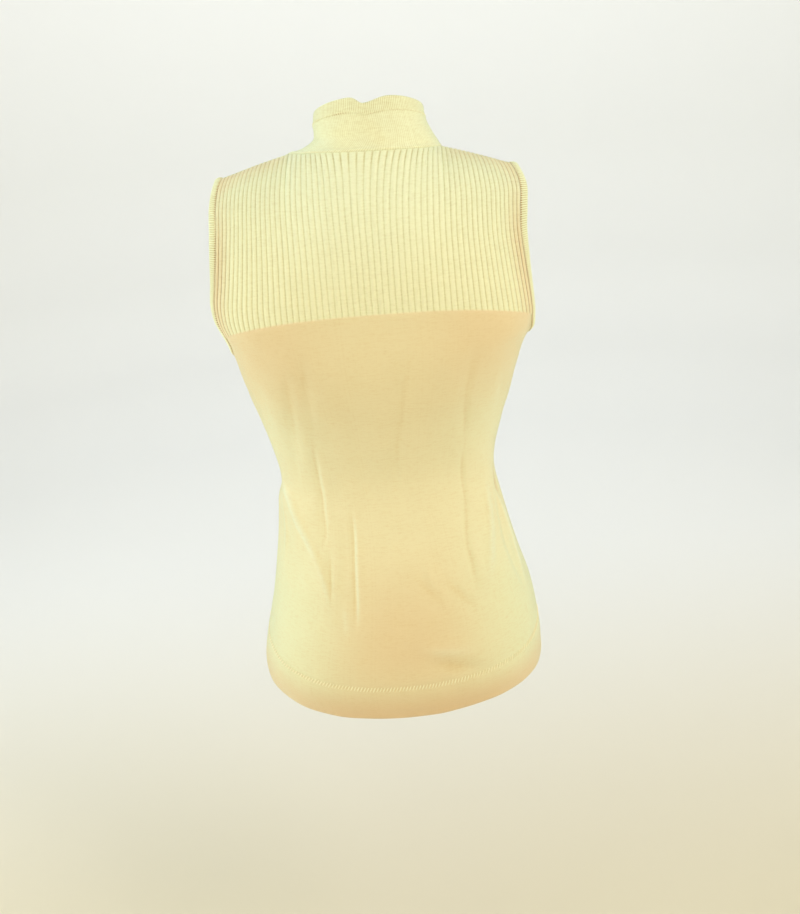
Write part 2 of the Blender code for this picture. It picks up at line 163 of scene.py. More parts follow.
PLAIN_WALL = 0.0014
HEM_WALL = 0.0026
RIB_HEIGHT = 0.0013
BAND_RIB = 0.0012
SEAM_GAP = 0.0003

# Ribs of half a panel, along the neckline and along a shoulder seam
NECK_RIBS, SHOULDER_RIBS = 13, 16
HALF_RIBS = NECK_RIBS + SHOULDER_RIBS
WALES_PER_RIB = 4
COURSE = 0.00105
COLLAR_WALE = 0.0019
BAND_WALE = 0.0023

NECK_HALF_WIDTH = 0.078
NECK_DEPTH = {"back": 0.055, "front": -0.072}
NECK_RISE = {"back": 0.008, "front": -0.045}
NECK_CURVE = 0.65
# How much closer the ribs lie towards the neckline's ends
NECK_CROWDING = 0.30
SHOULDER_TIP = 0.146
SHOULDER_DROP = 0.021
# Rise of the shoulders for each metre towards the wearer's left
SHOULDER_TILT = 0.025

# The share of a panel's width that the yoke takes at its foot. The rest is the lower armhole.
YOKE_SHARE = 0.83
YOKE_CENTRE = {"back": -0.148, "front": -0.150}
YOKE_CORNER = -0.178
YOKE_CURVE = 2.6
UNDERARM = -0.205
HEM_CENTRE = {"back": -0.628, "front": -0.612}
HEM_SIDE = -0.598
HEM_CURVE = 2.4
HEM_DEPTH = 0.044
HEM_ROLL = 0.0011


def table(names, rows):
    """The rows as one array for each named column."""
    return {name: np.array([row[i] for row in rows]) for i, name in enumerate(names)}


# The worn form at each height: its half width, and its depths at the back, the side seam and the front
TORSO = table(
    ("height", "half_width", "back", "side", "front", "squareness"),
    [
        (-0.660, 0.1640, 0.104, 0.008, -0.090, 2.30),
        (-0.620, 0.1645, 0.114, 0.008, -0.096, 2.30),
        (-0.580, 0.1625, 0.119, 0.007, -0.101, 2.30),
        (-0.530, 0.1545, 0.113, 0.004, -0.105, 2.25),
        (-0.470, 0.1410, 0.094, 0.000, -0.106, 2.20),
        (-0.410, 0.1285, 0.070, -0.004, -0.104, 2.20),
        (-0.355, 0.1222, 0.060, -0.006, -0.107, 2.20),
        (-0.300, 0.1332, 0.070, -0.004, -0.118, 2.20),
        (-0.250, 0.1492, 0.083, 0.000, -0.126, 2.30),
        (-0.200, 0.1630, 0.092, 0.002, -0.120, 2.40),
        (-0.150, 0.1660, 0.094, 0.002, -0.110, 2.40),
    ],
)
# How far the wearer's stance moves each height across
STANCE = table(
    ("height", "across"),
    [
        (-0.660, -0.001),
        (-0.580, 0.001),
        (-0.500, -0.002),
        (-0.430, -0.001),
        (-0.350, 0.005),
        (-0.250, 0.004),
        (-0.100, 0.005),
        (-0.020, 0.003),
        (0.000, 0.000),
        (0.020, -0.0058),
        (0.060, -0.0068),
    ],
)
# How far each side's drape moves its outline across, at full width
SIDES = table(
    ("height", "left", "right"),
    [
        (-0.660, 0.0000, 0.0000),
        (-0.625, 0.0005, -0.0010),
        (-0.600, 0.0055, -0.0020),
        (-0.560, 0.0055, -0.0035),
        (-0.510, 0.0050, -0.0030),
        (-0.470, 0.0065, 0.0000),
        (-0.400, 0.0072, 0.0000),
        (-0.383, 0.0062, -0.0005),
        (-0.368, 0.0015, -0.0010),
        (-0.340, 0.0000, -0.0022),
        (-0.290, -0.0010, -0.0020),
        (-0.235, -0.0045, 0.0012),
        (-0.205, -0.0070, -0.0015),
        (-0.190, -0.0055, -0.0080),
        (-0.178, -0.0015, -0.0095),
        (-0.160, 0.0045, -0.0080),
        (-0.145, 0.0055, -0.0060),
        (-0.115, 0.0010, -0.0025),
        (-0.080, -0.0025, -0.0010),
        (-0.060, -0.0035, -0.0045),
        (-0.040, -0.0020, -0.0090),
        (-0.020, 0.0000, -0.0070),
        (0.000, 0.0000, -0.0010),
        (0.060, 0.0000, 0.0000),
    ],
)
# Points that the yoke's curves lean towards, between the yoke line and the top seam
GUIDE_NAMES = ("across", "x", "y", "z")
YOKE_GUIDE = {
    "back": table(
        GUIDE_NAMES,
        [
            (0.00, 0.000, 0.086, -0.030),
            (0.25, 0.043, 0.083, -0.026),
            (0.45, 0.078, 0.062, 0.000),
            (0.65, 0.107, 0.055, 0.002),
            (0.85, 0.133, 0.061, -0.010),
            (1.00, 0.155, 0.070, -0.034),
        ],
    ),
    "front": table(
        GUIDE_NAMES,
        [
            (0.00, 0.000, -0.092, -0.078),
            (0.25, 0.043, -0.086, -0.068),
            (0.45, 0.077, -0.058, -0.034),
            (0.65, 0.105, -0.052, -0.041),
            (0.85, 0.130, -0.058, -0.050),
            (1.00, 0.150, -0.068, -0.054),
        ],
    ),
}

# The hem's lower edge over its even curve, and its depth up to the linking
HEM = table(
    ("across", "lift", "depth"),
    [
        (-1.00, 0.0000, 0.0500),
        (-0.83, 0.0020, 0.0465),
        (-0.67, 0.0045, 0.0430),
        (-0.48, 0.0060, 0.0420),
        (-0.30, 0.0052, 0.0420),
        (-0.10, 0.0030, 0.0430),
        (0.15, 0.0015, 0.0440),
        (0.40, 0.0010, 0.0455),
        (0.62, 0.0015, 0.0480),
        (0.83, 0.0026, 0.0520),
        (1.00, 0.0000, 0.0560),
    ],
)

# Lines on the body are drawn as if it lay flat: a side seam is HALF_ROUND from the middle. A line's places are
# thousandths of that across and millimetres of height.
HALF_ROUND = 0.19
MILLI = 0.001
# How far past three of its half widths a line still reaches
FADE = 0.012
# Folds of the plain body: (height, left, right, line) in millimetres. Each is a ridge, or a trough where its
# height is below 0, with a half width on its left side and one on its right.
FOLDS = {
    "back": [
        (3.4, 12, 5.5, [(900, -352), (860, -366), (758, -377), (665, -403), (600, -421)]),
        (1, 2.6, 2.2, [(860, -366), (758, -377), (665, -403), (600, -421), (548, -435)]),
        (2.8, 11, 4.5, [(620, -416), (548, -435), (470, -459), (435, -480), (403, -500)]),
        (-1.4, 15, 10, [(900, -388), (800, -418), (700, -447), (590, -477)]),
        (1.1, 3.5, 3.5, [(840, -381), (812, -416), (800, -451)]),
        (-0.9, 10, 6, [(367, -185), (383, -221), (418, -262), (452, -300)]),
        (-1, 7, 3.4, [(470, -312), (505, -352), (488, -382), (480, -411), (520, -431)]),
        (0.7, 3, 9, [(425, -300), (465, -345), (448, -395), (447, -425)]),
        (-0.9, 9, 6, [(470, -205), (505, -237), (562, -276), (640, -320), (713, -363)]),
        (-1.8, 5.5, 2.2, [(279, -384), (288, -412), (292, -440), (280, -475), (272, -506)]),
        (1, 2.4, 6, [(258, -388), (266, -420), (268, -446), (256, -485)]),
        (-1.3, 7, 5, [(345, -395), (345, -440), (325, -490)]),
        (-1.6, 6, 3, [(455, -420), (445, -446), (433, -468), (415, -495)]),
        (1.2, 3.5, 5, [(410, -435), (403, -468), (378, -500)]),
        (-1.2, 12, 6, [(-160, -188), (-125, -236), (-96, -282), (-70, -335), (-58, -372)]),
        (-1, 8, 5, [(-478, -195), (-485, -257), (-545, -312)]),
        (-1.3, 6, 4, [(-548, -320), (-545, -379), (-478, -414), (-453, -449), (-445, -486)]),
        (1, 5, 6, [(-520, -420), (-495, -450), (-505, -482)]),
        (2.8, 4, 5.5, [(-745, -375), (-690, -415), (-620, -445), (-545, -474)]),
        (-3.4, 5, 8, [(-900, -366), (-885, -384), (-905, -400), (-960, -425)]),
        (2.2, 3.4, 4.5, [(-850, -395), (-867, -424), (-865, -461), (-818, -501)]),
        (-2, 5, 7, [(-835, -385), (-800, -420), (-770, -452), (-790, -502)]),
        (-1.4, 8, 6, [(-85, -450), (-145, -470), (-215, -488)]),
        (1.2, 7, 7, [(-140, -440), (-200, -465), (-250, -485)]),
        (-1.5, 8, 5, [(-260, -458), (-335, -479), (-420, -502)]),
        (-2.1, 8, 10, [(-110, -552), (-220, -560), (-340, -568), (-440, -572)]),
        (1.6, 9, 7, [(-80, -533), (-203, -540), (-330, -547)]),
        (-0.8, 12, 12, [(150, -220), (170, -300), (140, -380)]),
        (-1, 11, 8, [(700, -215), (740, -260), (800, -305)]),
        (-1, 8, 11, [(-720, -215), (-760, -265), (-820, -310)]),
        (1, 14, 14, [(560, -520), (480, -545), (360, -555)]),
    ],
    "front": [
        (3.2, 10, 8, [(880, -352), (720, -395), (550, -430)]),
        (-2.2, 13, 11, [(900, -395), (750, -435), (600, -470)]),
        (-1.7, 11, 8, [(420, -290), (395, -360), (350, -430)]),
        (1.4, 11, 11, [(-100, -330), (-120, -420), (-160, -500)]),
        (-1.8, 10, 8, [(-400, -285), (-430, -360), (-440, -440)]),
        (2.9, 8, 10, [(-860, -358), (-690, -400), (-500, -450)]),
        (-2.3, 10, 12, [(-930, -395), (-820, -430), (-700, -470)]),
        (-1.9, 10, 12, [(50, -545), (220, -556), (400, -560)]),
        (-1.1, 12, 10, [(250, -200), (160, -270), (100, -340)]),
        (-1, 10, 12, [(-300, -195), (-240, -250), (-230, -330)]),
        (1.4, 6, 8, [(250, -420), (230, -470), (180, -520)]),
        (-1.2, 8, 5, [(-300, -440), (-280, -490), (-330, -530)]),
    ],
}
# Painted highlights along the folds' sharp creases and painted shade beside them, only a stitch or two wide: (tone,
# half width in millimetres, line)
PAINTED_CREASE_SHADING = {
    "back": [
        (1.00, 3.6, [(890, -352), (873, -362), (758, -377), (665, -403), (600, -421), (530, -440)]),
        (0.45, 2.6, [(560, -430), (500, -450), (455, -470), (425, -492)]),
        (-0.14, 4, [(640, -400), (560, -424), (475, -446), (435, -470)]),
        (0.55, 2, [(850, -375), (830, -405), (815, -440)]),
        (-0.34, 2, [(455, -285), (495, -325), (505, -352), (488, -382), (480, -411), (530, -432)]),
        (0.34, 2.4, [(470, -325), (478, -352), (466, -382), (455, -411)]),
        (0.70, 2.3, [(266, -389), (274, -415), (276, -440), (267, -470), (260, -505)]),
        (-0.45, 2, [(284, -388), (292, -415), (294, -440), (285, -470), (276, -505)]),
        (-0.42, 1.9, [(447, -422), (440, -446), (431, -466), (418, -492)]),
        (0.30, 3, [(340, -488), (322, -515)]),
        (-1.20, 3.2, [(-892, -360), (-887, -384), (-912, -398)]),
        (0.70, 3.2, [(-745, -375), (-690, -415), (-620, -445), (-545, -474)]),
        (0.95, 3, [(-850, -392), (-867, -424), (-865, -461), (-818, -501)]),
        (-0.30, 1.8, [(-550, -310), (-545, -379), (-468, -428), (-463, -449), (-445, -478)]),
        (-0.30, 3.5, [(-255, -462), (-335, -482), (-410, -500)]),
        (-0.22, 4, [(-85, -455), (-185, -479), (-255, -496)]),
        (-0.42, 7, [(-160, -555), (-242, -561), (-330, -566)]),
        (0.30, 5, [(-100, -537), (-225, -543), (-350, -546)]),
        (-0.18, 3, [(-155, -201), (-122, -239), (-95, -283), (-70, -335)]),
        (-0.24, 1.9, [(-478, -210), (-485, -257), (-547, -314)]),
        (-0.20, 1.9, [(377, -189), (390, -210), (423, -239)]),
        (-0.18, 1.9, [(492, -209), (532, -253), (600, -308), (650, -361)]),
    ],
    "front": [
        (0.60, 2.3, [(880, -352), (720, -395), (550, -430)]),
        (0.50, 2.3, [(-860, -358), (-690, -400), (-500, -450)]),
        (-0.40, 2, [(-400, -320), (-430, -380), (-440, -440)]),
        (-0.35, 2, [(420, -310), (395, -360), (350, -430)]),
        (0.40, 2, [(250, -420), (230, -470), (180, -520)]),
        (-0.40, 4, [(100, -550), (220, -556), (360, -560)]),
    ],
}

# Where the neckline's pull fans the ribs just under it: (centre, half width, pull) in shares of the yoke
NECK_FAN = {"back": [(0.160, 0.130, 0.032), (-0.130, 0.080, -0.004)], "front": [(0.0, 0.090, 0.010)]}
YOKE_LENGTH, FAN_DEPTH = 0.185, 0.024
# How strongly the yoke's curves set out in the body's direction, as a share of their length
YOKE_PULL = 0.34

# The collar from its foot to its fold, with how far its right side spreads, how much of the top edge's dip a
# level takes, and how far its outer face stands off
COLLAR_PLACES = ("across", "spread", "half_width", "back", "front")
COLLAR_HEIGHTS = ("side_height", "back_height", "front_height")
COLLAR = table(
    (*COLLAR_PLACES, *COLLAR_HEIGHTS, "power", "wall", "dip", "stand"),
    [
        (0.0000, 0.0000, 0.0780, 0.0550, -0.0720, 0.0000, 0.0080, -0.045, 0.65, 0.0014, 0.0, 0.0009),
        (-0.0022, 0.0050, 0.0680, 0.0535, -0.0700, 0.0050, 0.0140, -0.038, 0.60, 0.0017, 0.0, 0.0000),
        (-0.0036, 0.0038, 0.0598, 0.0515, -0.0670, 0.0130, 0.0220, -0.029, 0.56, 0.0017, 0.0, 0.0000),
        (-0.0018, 0.0010, 0.0580, 0.0490, -0.0645, 0.0210, 0.0320, -0.017, 0.52, 0.0017, 0.1, 0.0000),
        (-0.0004, 0.0000, 0.0575, 0.0470, -0.0630, 0.0265, 0.0430, -0.004, 0.50, 0.0018, 0.5, 0.0000),
        (0.0000, 0.0000, 0.0570, 0.0465, -0.0630, 0.0285, 0.0460, -0.001, 0.50, 0.0027, 0.6, 0.0004),
        (0.0000, 0.0000, 0.0556, 0.0450, -0.0620, 0.0375, 0.0580, 0.012, 0.50, 0.0027, 1.0, 0.0004),
    ],
)
COLLAR_KNOTS = (0, 0.16, 0.33, 0.50, 0.69, 0.745, 1.0)
COLLAR_LENGTH = 0.050
COLLAR_MIDDLE = (0, -0.008, 0)
# The foot's soft roll: its size, its level and its half width. Below it the foot turns under to the neckline.
FOOT_ROLL, ROLL_LEVEL, ROLL_WIDTH = 0.0007, 0.035, 0.030
FOOT_OUT, FOOT_UNDER = 0.0012, 0.0010
FOOT_INSIDE = ((0.0006, -0.0002), (0.0007, 0.0010))
FOLD_HEIGHT = 0.0012
DIP_DEPTH, DIP_PLACE = 0.0070, 0.0045
DIP_WIDTH = {"left": 0.0075, "right": 0.0170}
# The level of the row that links the fold down, and its holes for each wale
PICK_UP, PICK_UP_RATE = 0.725, 0.76

# An armhole band's section, from its seam over its edge to its inside, and how clearly its wales stand out
BAND = table(
    ("out", "height", "swell"),
    [
        (0.00015, 0.0006, 0.4),
        (0.0014, 0.0011, 0.8),
        (0.0034, 0.0013, 1.0),
        (0.0054, 0.0011, 1.0),
        (0.0070, 0.0005, 1.0),
        (0.0077, -0.0003, 1.0),
        (0.0072, -0.0013, 0.8),
        (0.0054, -0.0017, 0.3),
        (0.0034, -0.0017, 0.1),
        (0.0014, -0.0016, 0.1),
        (0.00015, -0.0014, 0.1),
    ],
)
BAND_MIDDLE = (0.0038, -0.0003)


# ---------------------------------------------------------------- the form of the cloth


def smooth(key, values, at):
    """A cubic through a table's points, each with the slope of its neighbours."""
    slopes = np.gradient(values, key)
    at = np.clip(at, key[0], key[-1])
    i = np.clip(np.searchsorted(key, at, side="right") - 1, 0, len(key) - 2)
    gap = key[i + 1] - key[i]
    t = (at - key[i]) / gap
    return (
        (2 * t**3 - 3 * t**2 + 1) * values[i]
        + (t**3 - 2 * t**2 + t) * gap * slopes[i]
        + (3 * t**2 - 2 * t**3) * values[i + 1]
        + (t**3 - t**2) * gap * slopes[i + 1]
    )


def unit(vectors):
    """The vectors at length 1."""
    return vectors / np.linalg.norm(vectors, axis=-1, keepdims=True)


def closed_gradient(points):
    """Direction along a closed row of points, at each of them."""
    return np.roll(points, -1, axis=0) - np.roll(points, 1, axis=0)


def ease(t):
    """A soft step from 0 to 1."""
    t = np.clip(t, 0, 1)
    return t * t * (3 - 2 * t)


def torso(name, height):
    return smooth(TORSO["height"], TORSO[name], height)


def section(face, turn, height):
    """Points round half the worn form, where turn is 0 at the middle and 1 or -1 at the side seams."""
    power = 2 / torso("squareness", height)
    angle = np.abs(turn) * math.pi / 2
    x = np.sign(turn) * torso("half_width", height) * np.sin(angle) ** power
    side = torso("side", height)
    y = side + (torso(face, height) - side) * np.clip(np.cos(angle), 0, 1) ** power
    return np.stack([x, y, height + 0 * x], axis=-1)


def even_turn(face, share, height):
    """The turn that lies at an even share of the way round, measured on the cloth at one height."""
    turn = np.linspace(0, 1, 481)
    around = section(face, turn, height)
    along = np.concatenate([[0], np.cumsum(np.linalg.norm(np.diff(around, axis=0), axis=-1))])
    return np.interp(share, along / along[-1], turn)


def top_height(face, share):
    """Height of the plain body's upper edge: the yoke line, and past it the lower armhole."""
    line = YOKE_CENTRE[face] + (YOKE_CORNER - YOKE_CENTRE[face]) * (share / YOKE_SHARE) ** YOKE_CURVE
    k = np.clip((share - YOKE_SHARE) / (1 - YOKE_SHARE), 0, 1)
    armhole = YOKE_CORNER + (UNDERARM - YOKE_CORNER) * np.sqrt(1 - (1 - k) ** 2)
    return np.where(share <= YOKE_SHARE, line, armhole)


def hem_line(face, across):
    """Height of the hem's lower edge."""
    share = np.abs(across)
    level_line = HEM_CENTRE[face] + (HEM_SIDE - HEM_CENTRE[face]) * share**HEM_CURVE
    return level_line + smooth(HEM["across"], HEM["lift"], across)


def hem_depth(across):
    """Depth of the turned hem, which the sides' fullness draws up unevenly."""
    return smooth(HEM["across"], HEM["depth"], across)


def body(face, across, level):
    """Points of the plain body: level 0 to 1 is the hem, 1 to 2 the body up to the yoke and the armholes."""
    share = np.abs(across)
    hem, depth = hem_line(face, across), hem_depth(across)
    stitch, top = hem + depth, top_height(face, share)
    if level < 1:
        height = hem + depth * level
        middle = HEM_SIDE + HEM_DEPTH * level
    else:
        height = stitch + (top - stitch) * (level - 1)
        middle = HEM_SIDE + HEM_DEPTH + (YOKE_CORNER - HEM_SIDE - HEM_DEPTH) * (level - 1)
    turn = even_turn(face, share, middle)
    return section(face, np.sign(across) * turn, height)


def top_seam(face, across):
    """The yoke's upper edge: half the neckline in the middle and a shoulder seam at each end."""
    ribs = np.abs(across) * HALF_RIBS
    k = np.clip(ribs / NECK_RIBS, 0, 1)
    q = (1 - NECK_CROWDING) * k + NECK_CROWDING * np.sin(k * math.pi / 2)
    out = np.clip((ribs - NECK_RIBS) / SHOULDER_RIBS, 0, 1)
    x = np.sign(across) * (NECK_HALF_WIDTH * q + (SHOULDER_TIP - NECK_HALF_WIDTH) * out)
    bow = np.clip(1 - q**2, 0, 1) ** NECK_CURVE
    z = NECK_RISE[face] * bow - SHOULDER_DROP * out + SHOULDER_TILT * x
    return np.stack([x, NECK_DEPTH[face] * bow, z], axis=-1)


def guide(face, across):
    """The yoke's guide points, on both sides of the middle."""
    rows = YOKE_GUIDE[face]
    key = np.concatenate([-rows["across"][:0:-1], rows["across"]])
    found = []
    for axis, mirror in (("x", -1), ("y", 1), ("z", 1)):
        half = rows[axis]
        found.append(smooth(key, np.concatenate([mirror * half[:0:-1], half]), across))
    return np.stack(found, axis=-1)


def yoke(face, across, level):
    """Points of the yoke at one level from 2 to 3, on curves that carry on from the body to the top seam."""
    up, down = level - 2, 3 - level
    for centre, width, pull in NECK_FAN[face]:
        pull = pull * math.exp(-down * YOKE_LENGTH / FAN_DEPTH)
        across = across + pull * np.exp(-(((across - centre) / width) ** 2))
    foot = body(face, across * YOKE_SHARE, 2.0)
    below = body(face, across * YOKE_SHARE, 1.97)
    head, high = top_seam(face, across), guide(face, across)
    low = foot + unit(foot - below) * YOKE_PULL * np.linalg.norm(head - foot, axis=-1, keepdims=True)
    return down**3 * foot + 3 * down**2 * up * low + 3 * down * up**2 * high + up**3 * head


def sway(points):
    """Moves each level across by the stance, and its two sides by their drape."""
    height = points[..., 2]
    share = points[..., 0] / torso("half_width", height)
    left, right = (smooth(SIDES["height"], SIDES[name], height) for name in ("left", "right"))
    side = np.where(share > 0, left, right)
    across = smooth(STANCE["height"], STANCE["across"], height) + side * np.minimum(share**2, 1.2)
    return points + np.stack([across, 0 * across, 0 * across], axis=-1)


def near_line(line, x, height, reach):
    """The places near a smooth line, their distance from it, their side of it and the line's fading ends."""
    line = np.array(line) * (HALF_ROUND * MILLI, MILLI)
    knots = np.arange(len(line), dtype=float)
    fine = np.linspace(0, len(line) - 1, 8 * (len(line) - 1) + 1)
    line = np.stack([smooth(knots, line[:, 0], fine), smooth(knots, line[:, 1], fine)], axis=-1)
    near = (x > line[:, 0].min() - reach) & (x < line[:, 0].max() + reach)
    near &= (height > line[:, 1].min() - reach) & (height < line[:, 1].max() + reach)
    px, pz = x[near], height[near]
    best, off, run = np.full(len(px), 9.0), np.zeros(len(px)), np.zeros(len(px))
    lengths = np.linalg.norm(np.diff(line, axis=0), axis=-1)
    total, before = lengths.sum(), 0.0
    for i, length in enumerate(lengths):
        way = (line[i + 1] - line[i]) / length
        dx, dz = px - line[i, 0], pz - line[i, 1]
        along = dx * way[0] + dz * way[1]
        held = np.clip(along, 0 if i else -9, length if i < len(lengths) - 1 else 9)
        gap = np.hypot(dx - held * way[0], dz - held * way[1])
        nearer = gap < best
        best[nearer] = gap[nearer]
        off[nearer] = (dz * way[0] - dx * way[1])[nearer]
        run[nearer] = (before + held)[nearer]
        before += length
    taper, beyond = min(0.030, 0.45 * total), 0.010
    ends = ease((run + beyond) / (taper + beyond)) * ease((total - run + beyond) / (taper + beyond))
    return near, best, off, ends


def fold_rise(face, across, height):
    """Rise of the folds over the body's form, at places across it."""
    x, rise = across * HALF_ROUND + 0 * height, 0 * height
    for top, left, right, line in FOLDS[face]:
        top, left, right = top * MILLI, left * MILLI, right * MILLI
        near, gap, off, ends = near_line(line, x, height, 3 * max(left, right) + FADE)
        rise[near] += top * ends * np.exp(-((gap / np.where(off > 0, left, right)) ** 2))
    rise = rise * ease((1 - np.abs(across)) / 0.06)
    return rise * ease((top_height(face, np.abs(across)) - height) / 0.020)


def painted_crease_tone(face, across, height):
    """Painted light and shade of the sharp creases: above 0 a painted highlight along the folded edges, below 0
    painted shade in the lines beside them.
    """
    x, tone = across * HALF_ROUND + 0 * height, 0 * height
    for tint, width, line in PAINTED_CREASE_SHADING[face]:
        width = width * MILLI
        near, gap, _, ends = near_line(line, x, height, 3 * width + FADE)
        tone[near] += tint * ends * np.exp(-((gap / width) ** 2))
    return tone


# Waves of the cloth: (size, waves across, waves up, start)
DRIFT = (
    (0.00035, 31, 17, 0.4),
    (0.00028, 63, -41, 2.1),
    (0.00016, 127, 83, 1.3),
    (0.00010, 190, -173, 0),
)


def drift(across, height):
    """The slow unevenness of soft cloth, as waves of a third of a millimetre and less."""
    x = across * HALF_ROUND
    return sum(size * np.sin(aside * x + up * height + start) for size, aside, up, start in DRIFT)


# ---------------------------------------------------------------- rows and columns of the panels

# Columns over one rib, and the rows of the hem, the body and the yoke, closest where the form turns sharply
RIB_POINTS = (0, 0.07, 0.20, 0.35, 0.50, 0.65, 0.80, 0.93)
ACROSS = np.array([rib + part for rib in range(-HALF_RIBS, HALF_RIBS) for part in RIB_POINTS] + [HALF_RIBS])
ACROSS = ACROSS / HALF_RIBS
COLUMNS = len(ACROSS)
BODY_MARKS = list(range(0, COLUMNS, 2))
INNER_MARKS = list(range(0, COLUMNS, 8))
NECK = slice(8 * SHOULDER_RIBS, 8 * (SHOULDER_RIBS + 2 * NECK_RIBS) + 1)
RIM = YOKE_SHARE + (1 - YOKE_SHARE) * (1 - np.cos(np.linspace(0, math.pi / 2, 13)[1:]))
HEM_LEVELS = [0, 0.03, 0.07, 0.12, 0.18, 0.25, 0.32, 0.39, 0.46, 0.53, 0.60, 0.67, 0.74, 0.80]
HEM_LEVELS += [0.85, 0.89, 0.92, 0.945, 0.965, 0.985, 1.0]
BODY_LEVELS = [1.001, 1.002, 1.0035, 1.0055, 1.008] + [1 + k / 184 for k in range(3, 184)]
YOKE_LEVELS = [2, 2.004, 2.008, 2.013, 2.019, 2.027] + [2 + k / 62 for k in range(2, 61)]
YOKE_LEVELS += [2.975, 2.983, 2.990, 2.995, 3.0]
HALF_WALES = HALF_RIBS * WALES_PER_RIB / YOKE_SHARE
COURSES = {"hem": HEM_DEPTH / COURSE, "body": 0.44 / COURSE, "yoke": YOKE_LENGTH / COURSE}
# How far the ribs stand out at a level of the yoke: (level, share)
RIB_SWELL = ((2, 0), (2.004, 0.5), (2.008, 0.8), (2.013, 0.95), (2.022, 1), (2.97, 1), (3.0, 0.45))
# The plain body stands level with the crests of the ribs at the yoke line, and settles back below it
LIFT_BELOW, LIFT_ASIDE = 0.034, 0.05
# The doubled hem stands out, its linking row draws in, and so do the side seams
HEM_FULLNESS, HEM_GROOVE, SEAM_SINK = 0.0004, 0.0003, 0.0005


def course_of(level):
    """The course at a level of the panel, counted from the hem's edge."""
    return np.interp(level, [0, 1, 2, 3], np.cumsum([0, COURSES["hem"], COURSES["body"], COURSES["yoke"]]))


def normals_of(face, grid):
    """Outward normals of a grid of points."""
    normals = unit(np.cross(np.gradient(grid, axis=1), np.gradient(grid, axis=0)))
    return normals if face == "front" else -normals


def draw_in(edge, normals, inside):
    """Half a seam gap, from an edge towards the points beside it."""
    side = unit(np.cross(np.gradient(edge, axis=0), normals))
    sign = np.sign(np.sum(side * (inside - edge), axis=-1, keepdims=True))
    return side * sign * SEAM_GAP / 2


def panel_form(face):
    """Points and outward normals of one panel's plain and yoke grids, folds and hem included."""
    across = np.concatenate([-RIM[::-1], ACROSS[BODY_MARKS] * YOKE_SHARE, RIM])
    levels = np.array(HEM_LEVELS + BODY_LEVELS + [2.0])
    plain = np.stack([body(face, across, level) for level in levels])
    upper = np.stack([yoke(face, ACROSS, level) for level in YOKE_LEVELS])
    plain_n, upper_n = normals_of(face, plain), normals_of(face, upper)
    for side in (0, -1):
        plain_n[:, side, 1] = 0
    rim = len(RIM)
    plain_n[-1, rim:-rim] = upper_n[0, BODY_MARKS]
    plain_n = unit(plain_n)
    height = plain[..., 2]
    spread = np.broadcast_to(across, height.shape)
    rise = fold_rise(face, spread, height) + drift(spread, height) * ease((1 - np.abs(spread)) / 0.10)
    stitch = height - hem_line(face, spread) - hem_depth(spread)
    rise += HEM_FULLNESS * ease((0.001 - stitch) / 0.004) - HEM_GROOVE * np.exp(-((stitch / 0.0030) ** 2))
    edge = ease((1 - np.abs(spread)) / 0.008)
    rise -= SEAM_SINK * (1 - edge)
    rise[-1] = 0
    plain = plain + plain_n * rise[..., None]
    return {
        "face": face,
        "across": across,
        "levels": levels,
        "plain": plain,
        "plain_normals": plain_n,
        "crease": painted_crease_tone(face, spread, height),
        "yoke": upper,
        "yoke_normals": upper_n,
    }


def share_shoulders(back, front):
    """Gives both panels the same normals along the shoulder seams, which turn gently into the neckline."""
    turn = 24
    right, left = slice(0, NECK.start), slice(NECK.stop, None)
    for ends, corner, step in ((right, NECK.start, 1), (left, NECK.stop - 1, -1)):
        both = unit(back["yoke_normals"][-1, ends] + front["yoke_normals"][-1, ends])
        for part in (back, front):
            part["yoke_normals"][-1, ends] = both
            top = part["yoke_normals"][-1]
            near, far = top[corner - step].copy(), top[corner + turn * step].copy()
            for k in range(turn):
                top[corner + k * step] = unit(near * (1 - k / turn) + far * k / turn)


# ---------------------------------------------------------------- cloth as a mesh

MARKS = ("wale", "course", "rib", "swell", "lift", "inside", "yoke", "level", "crease")


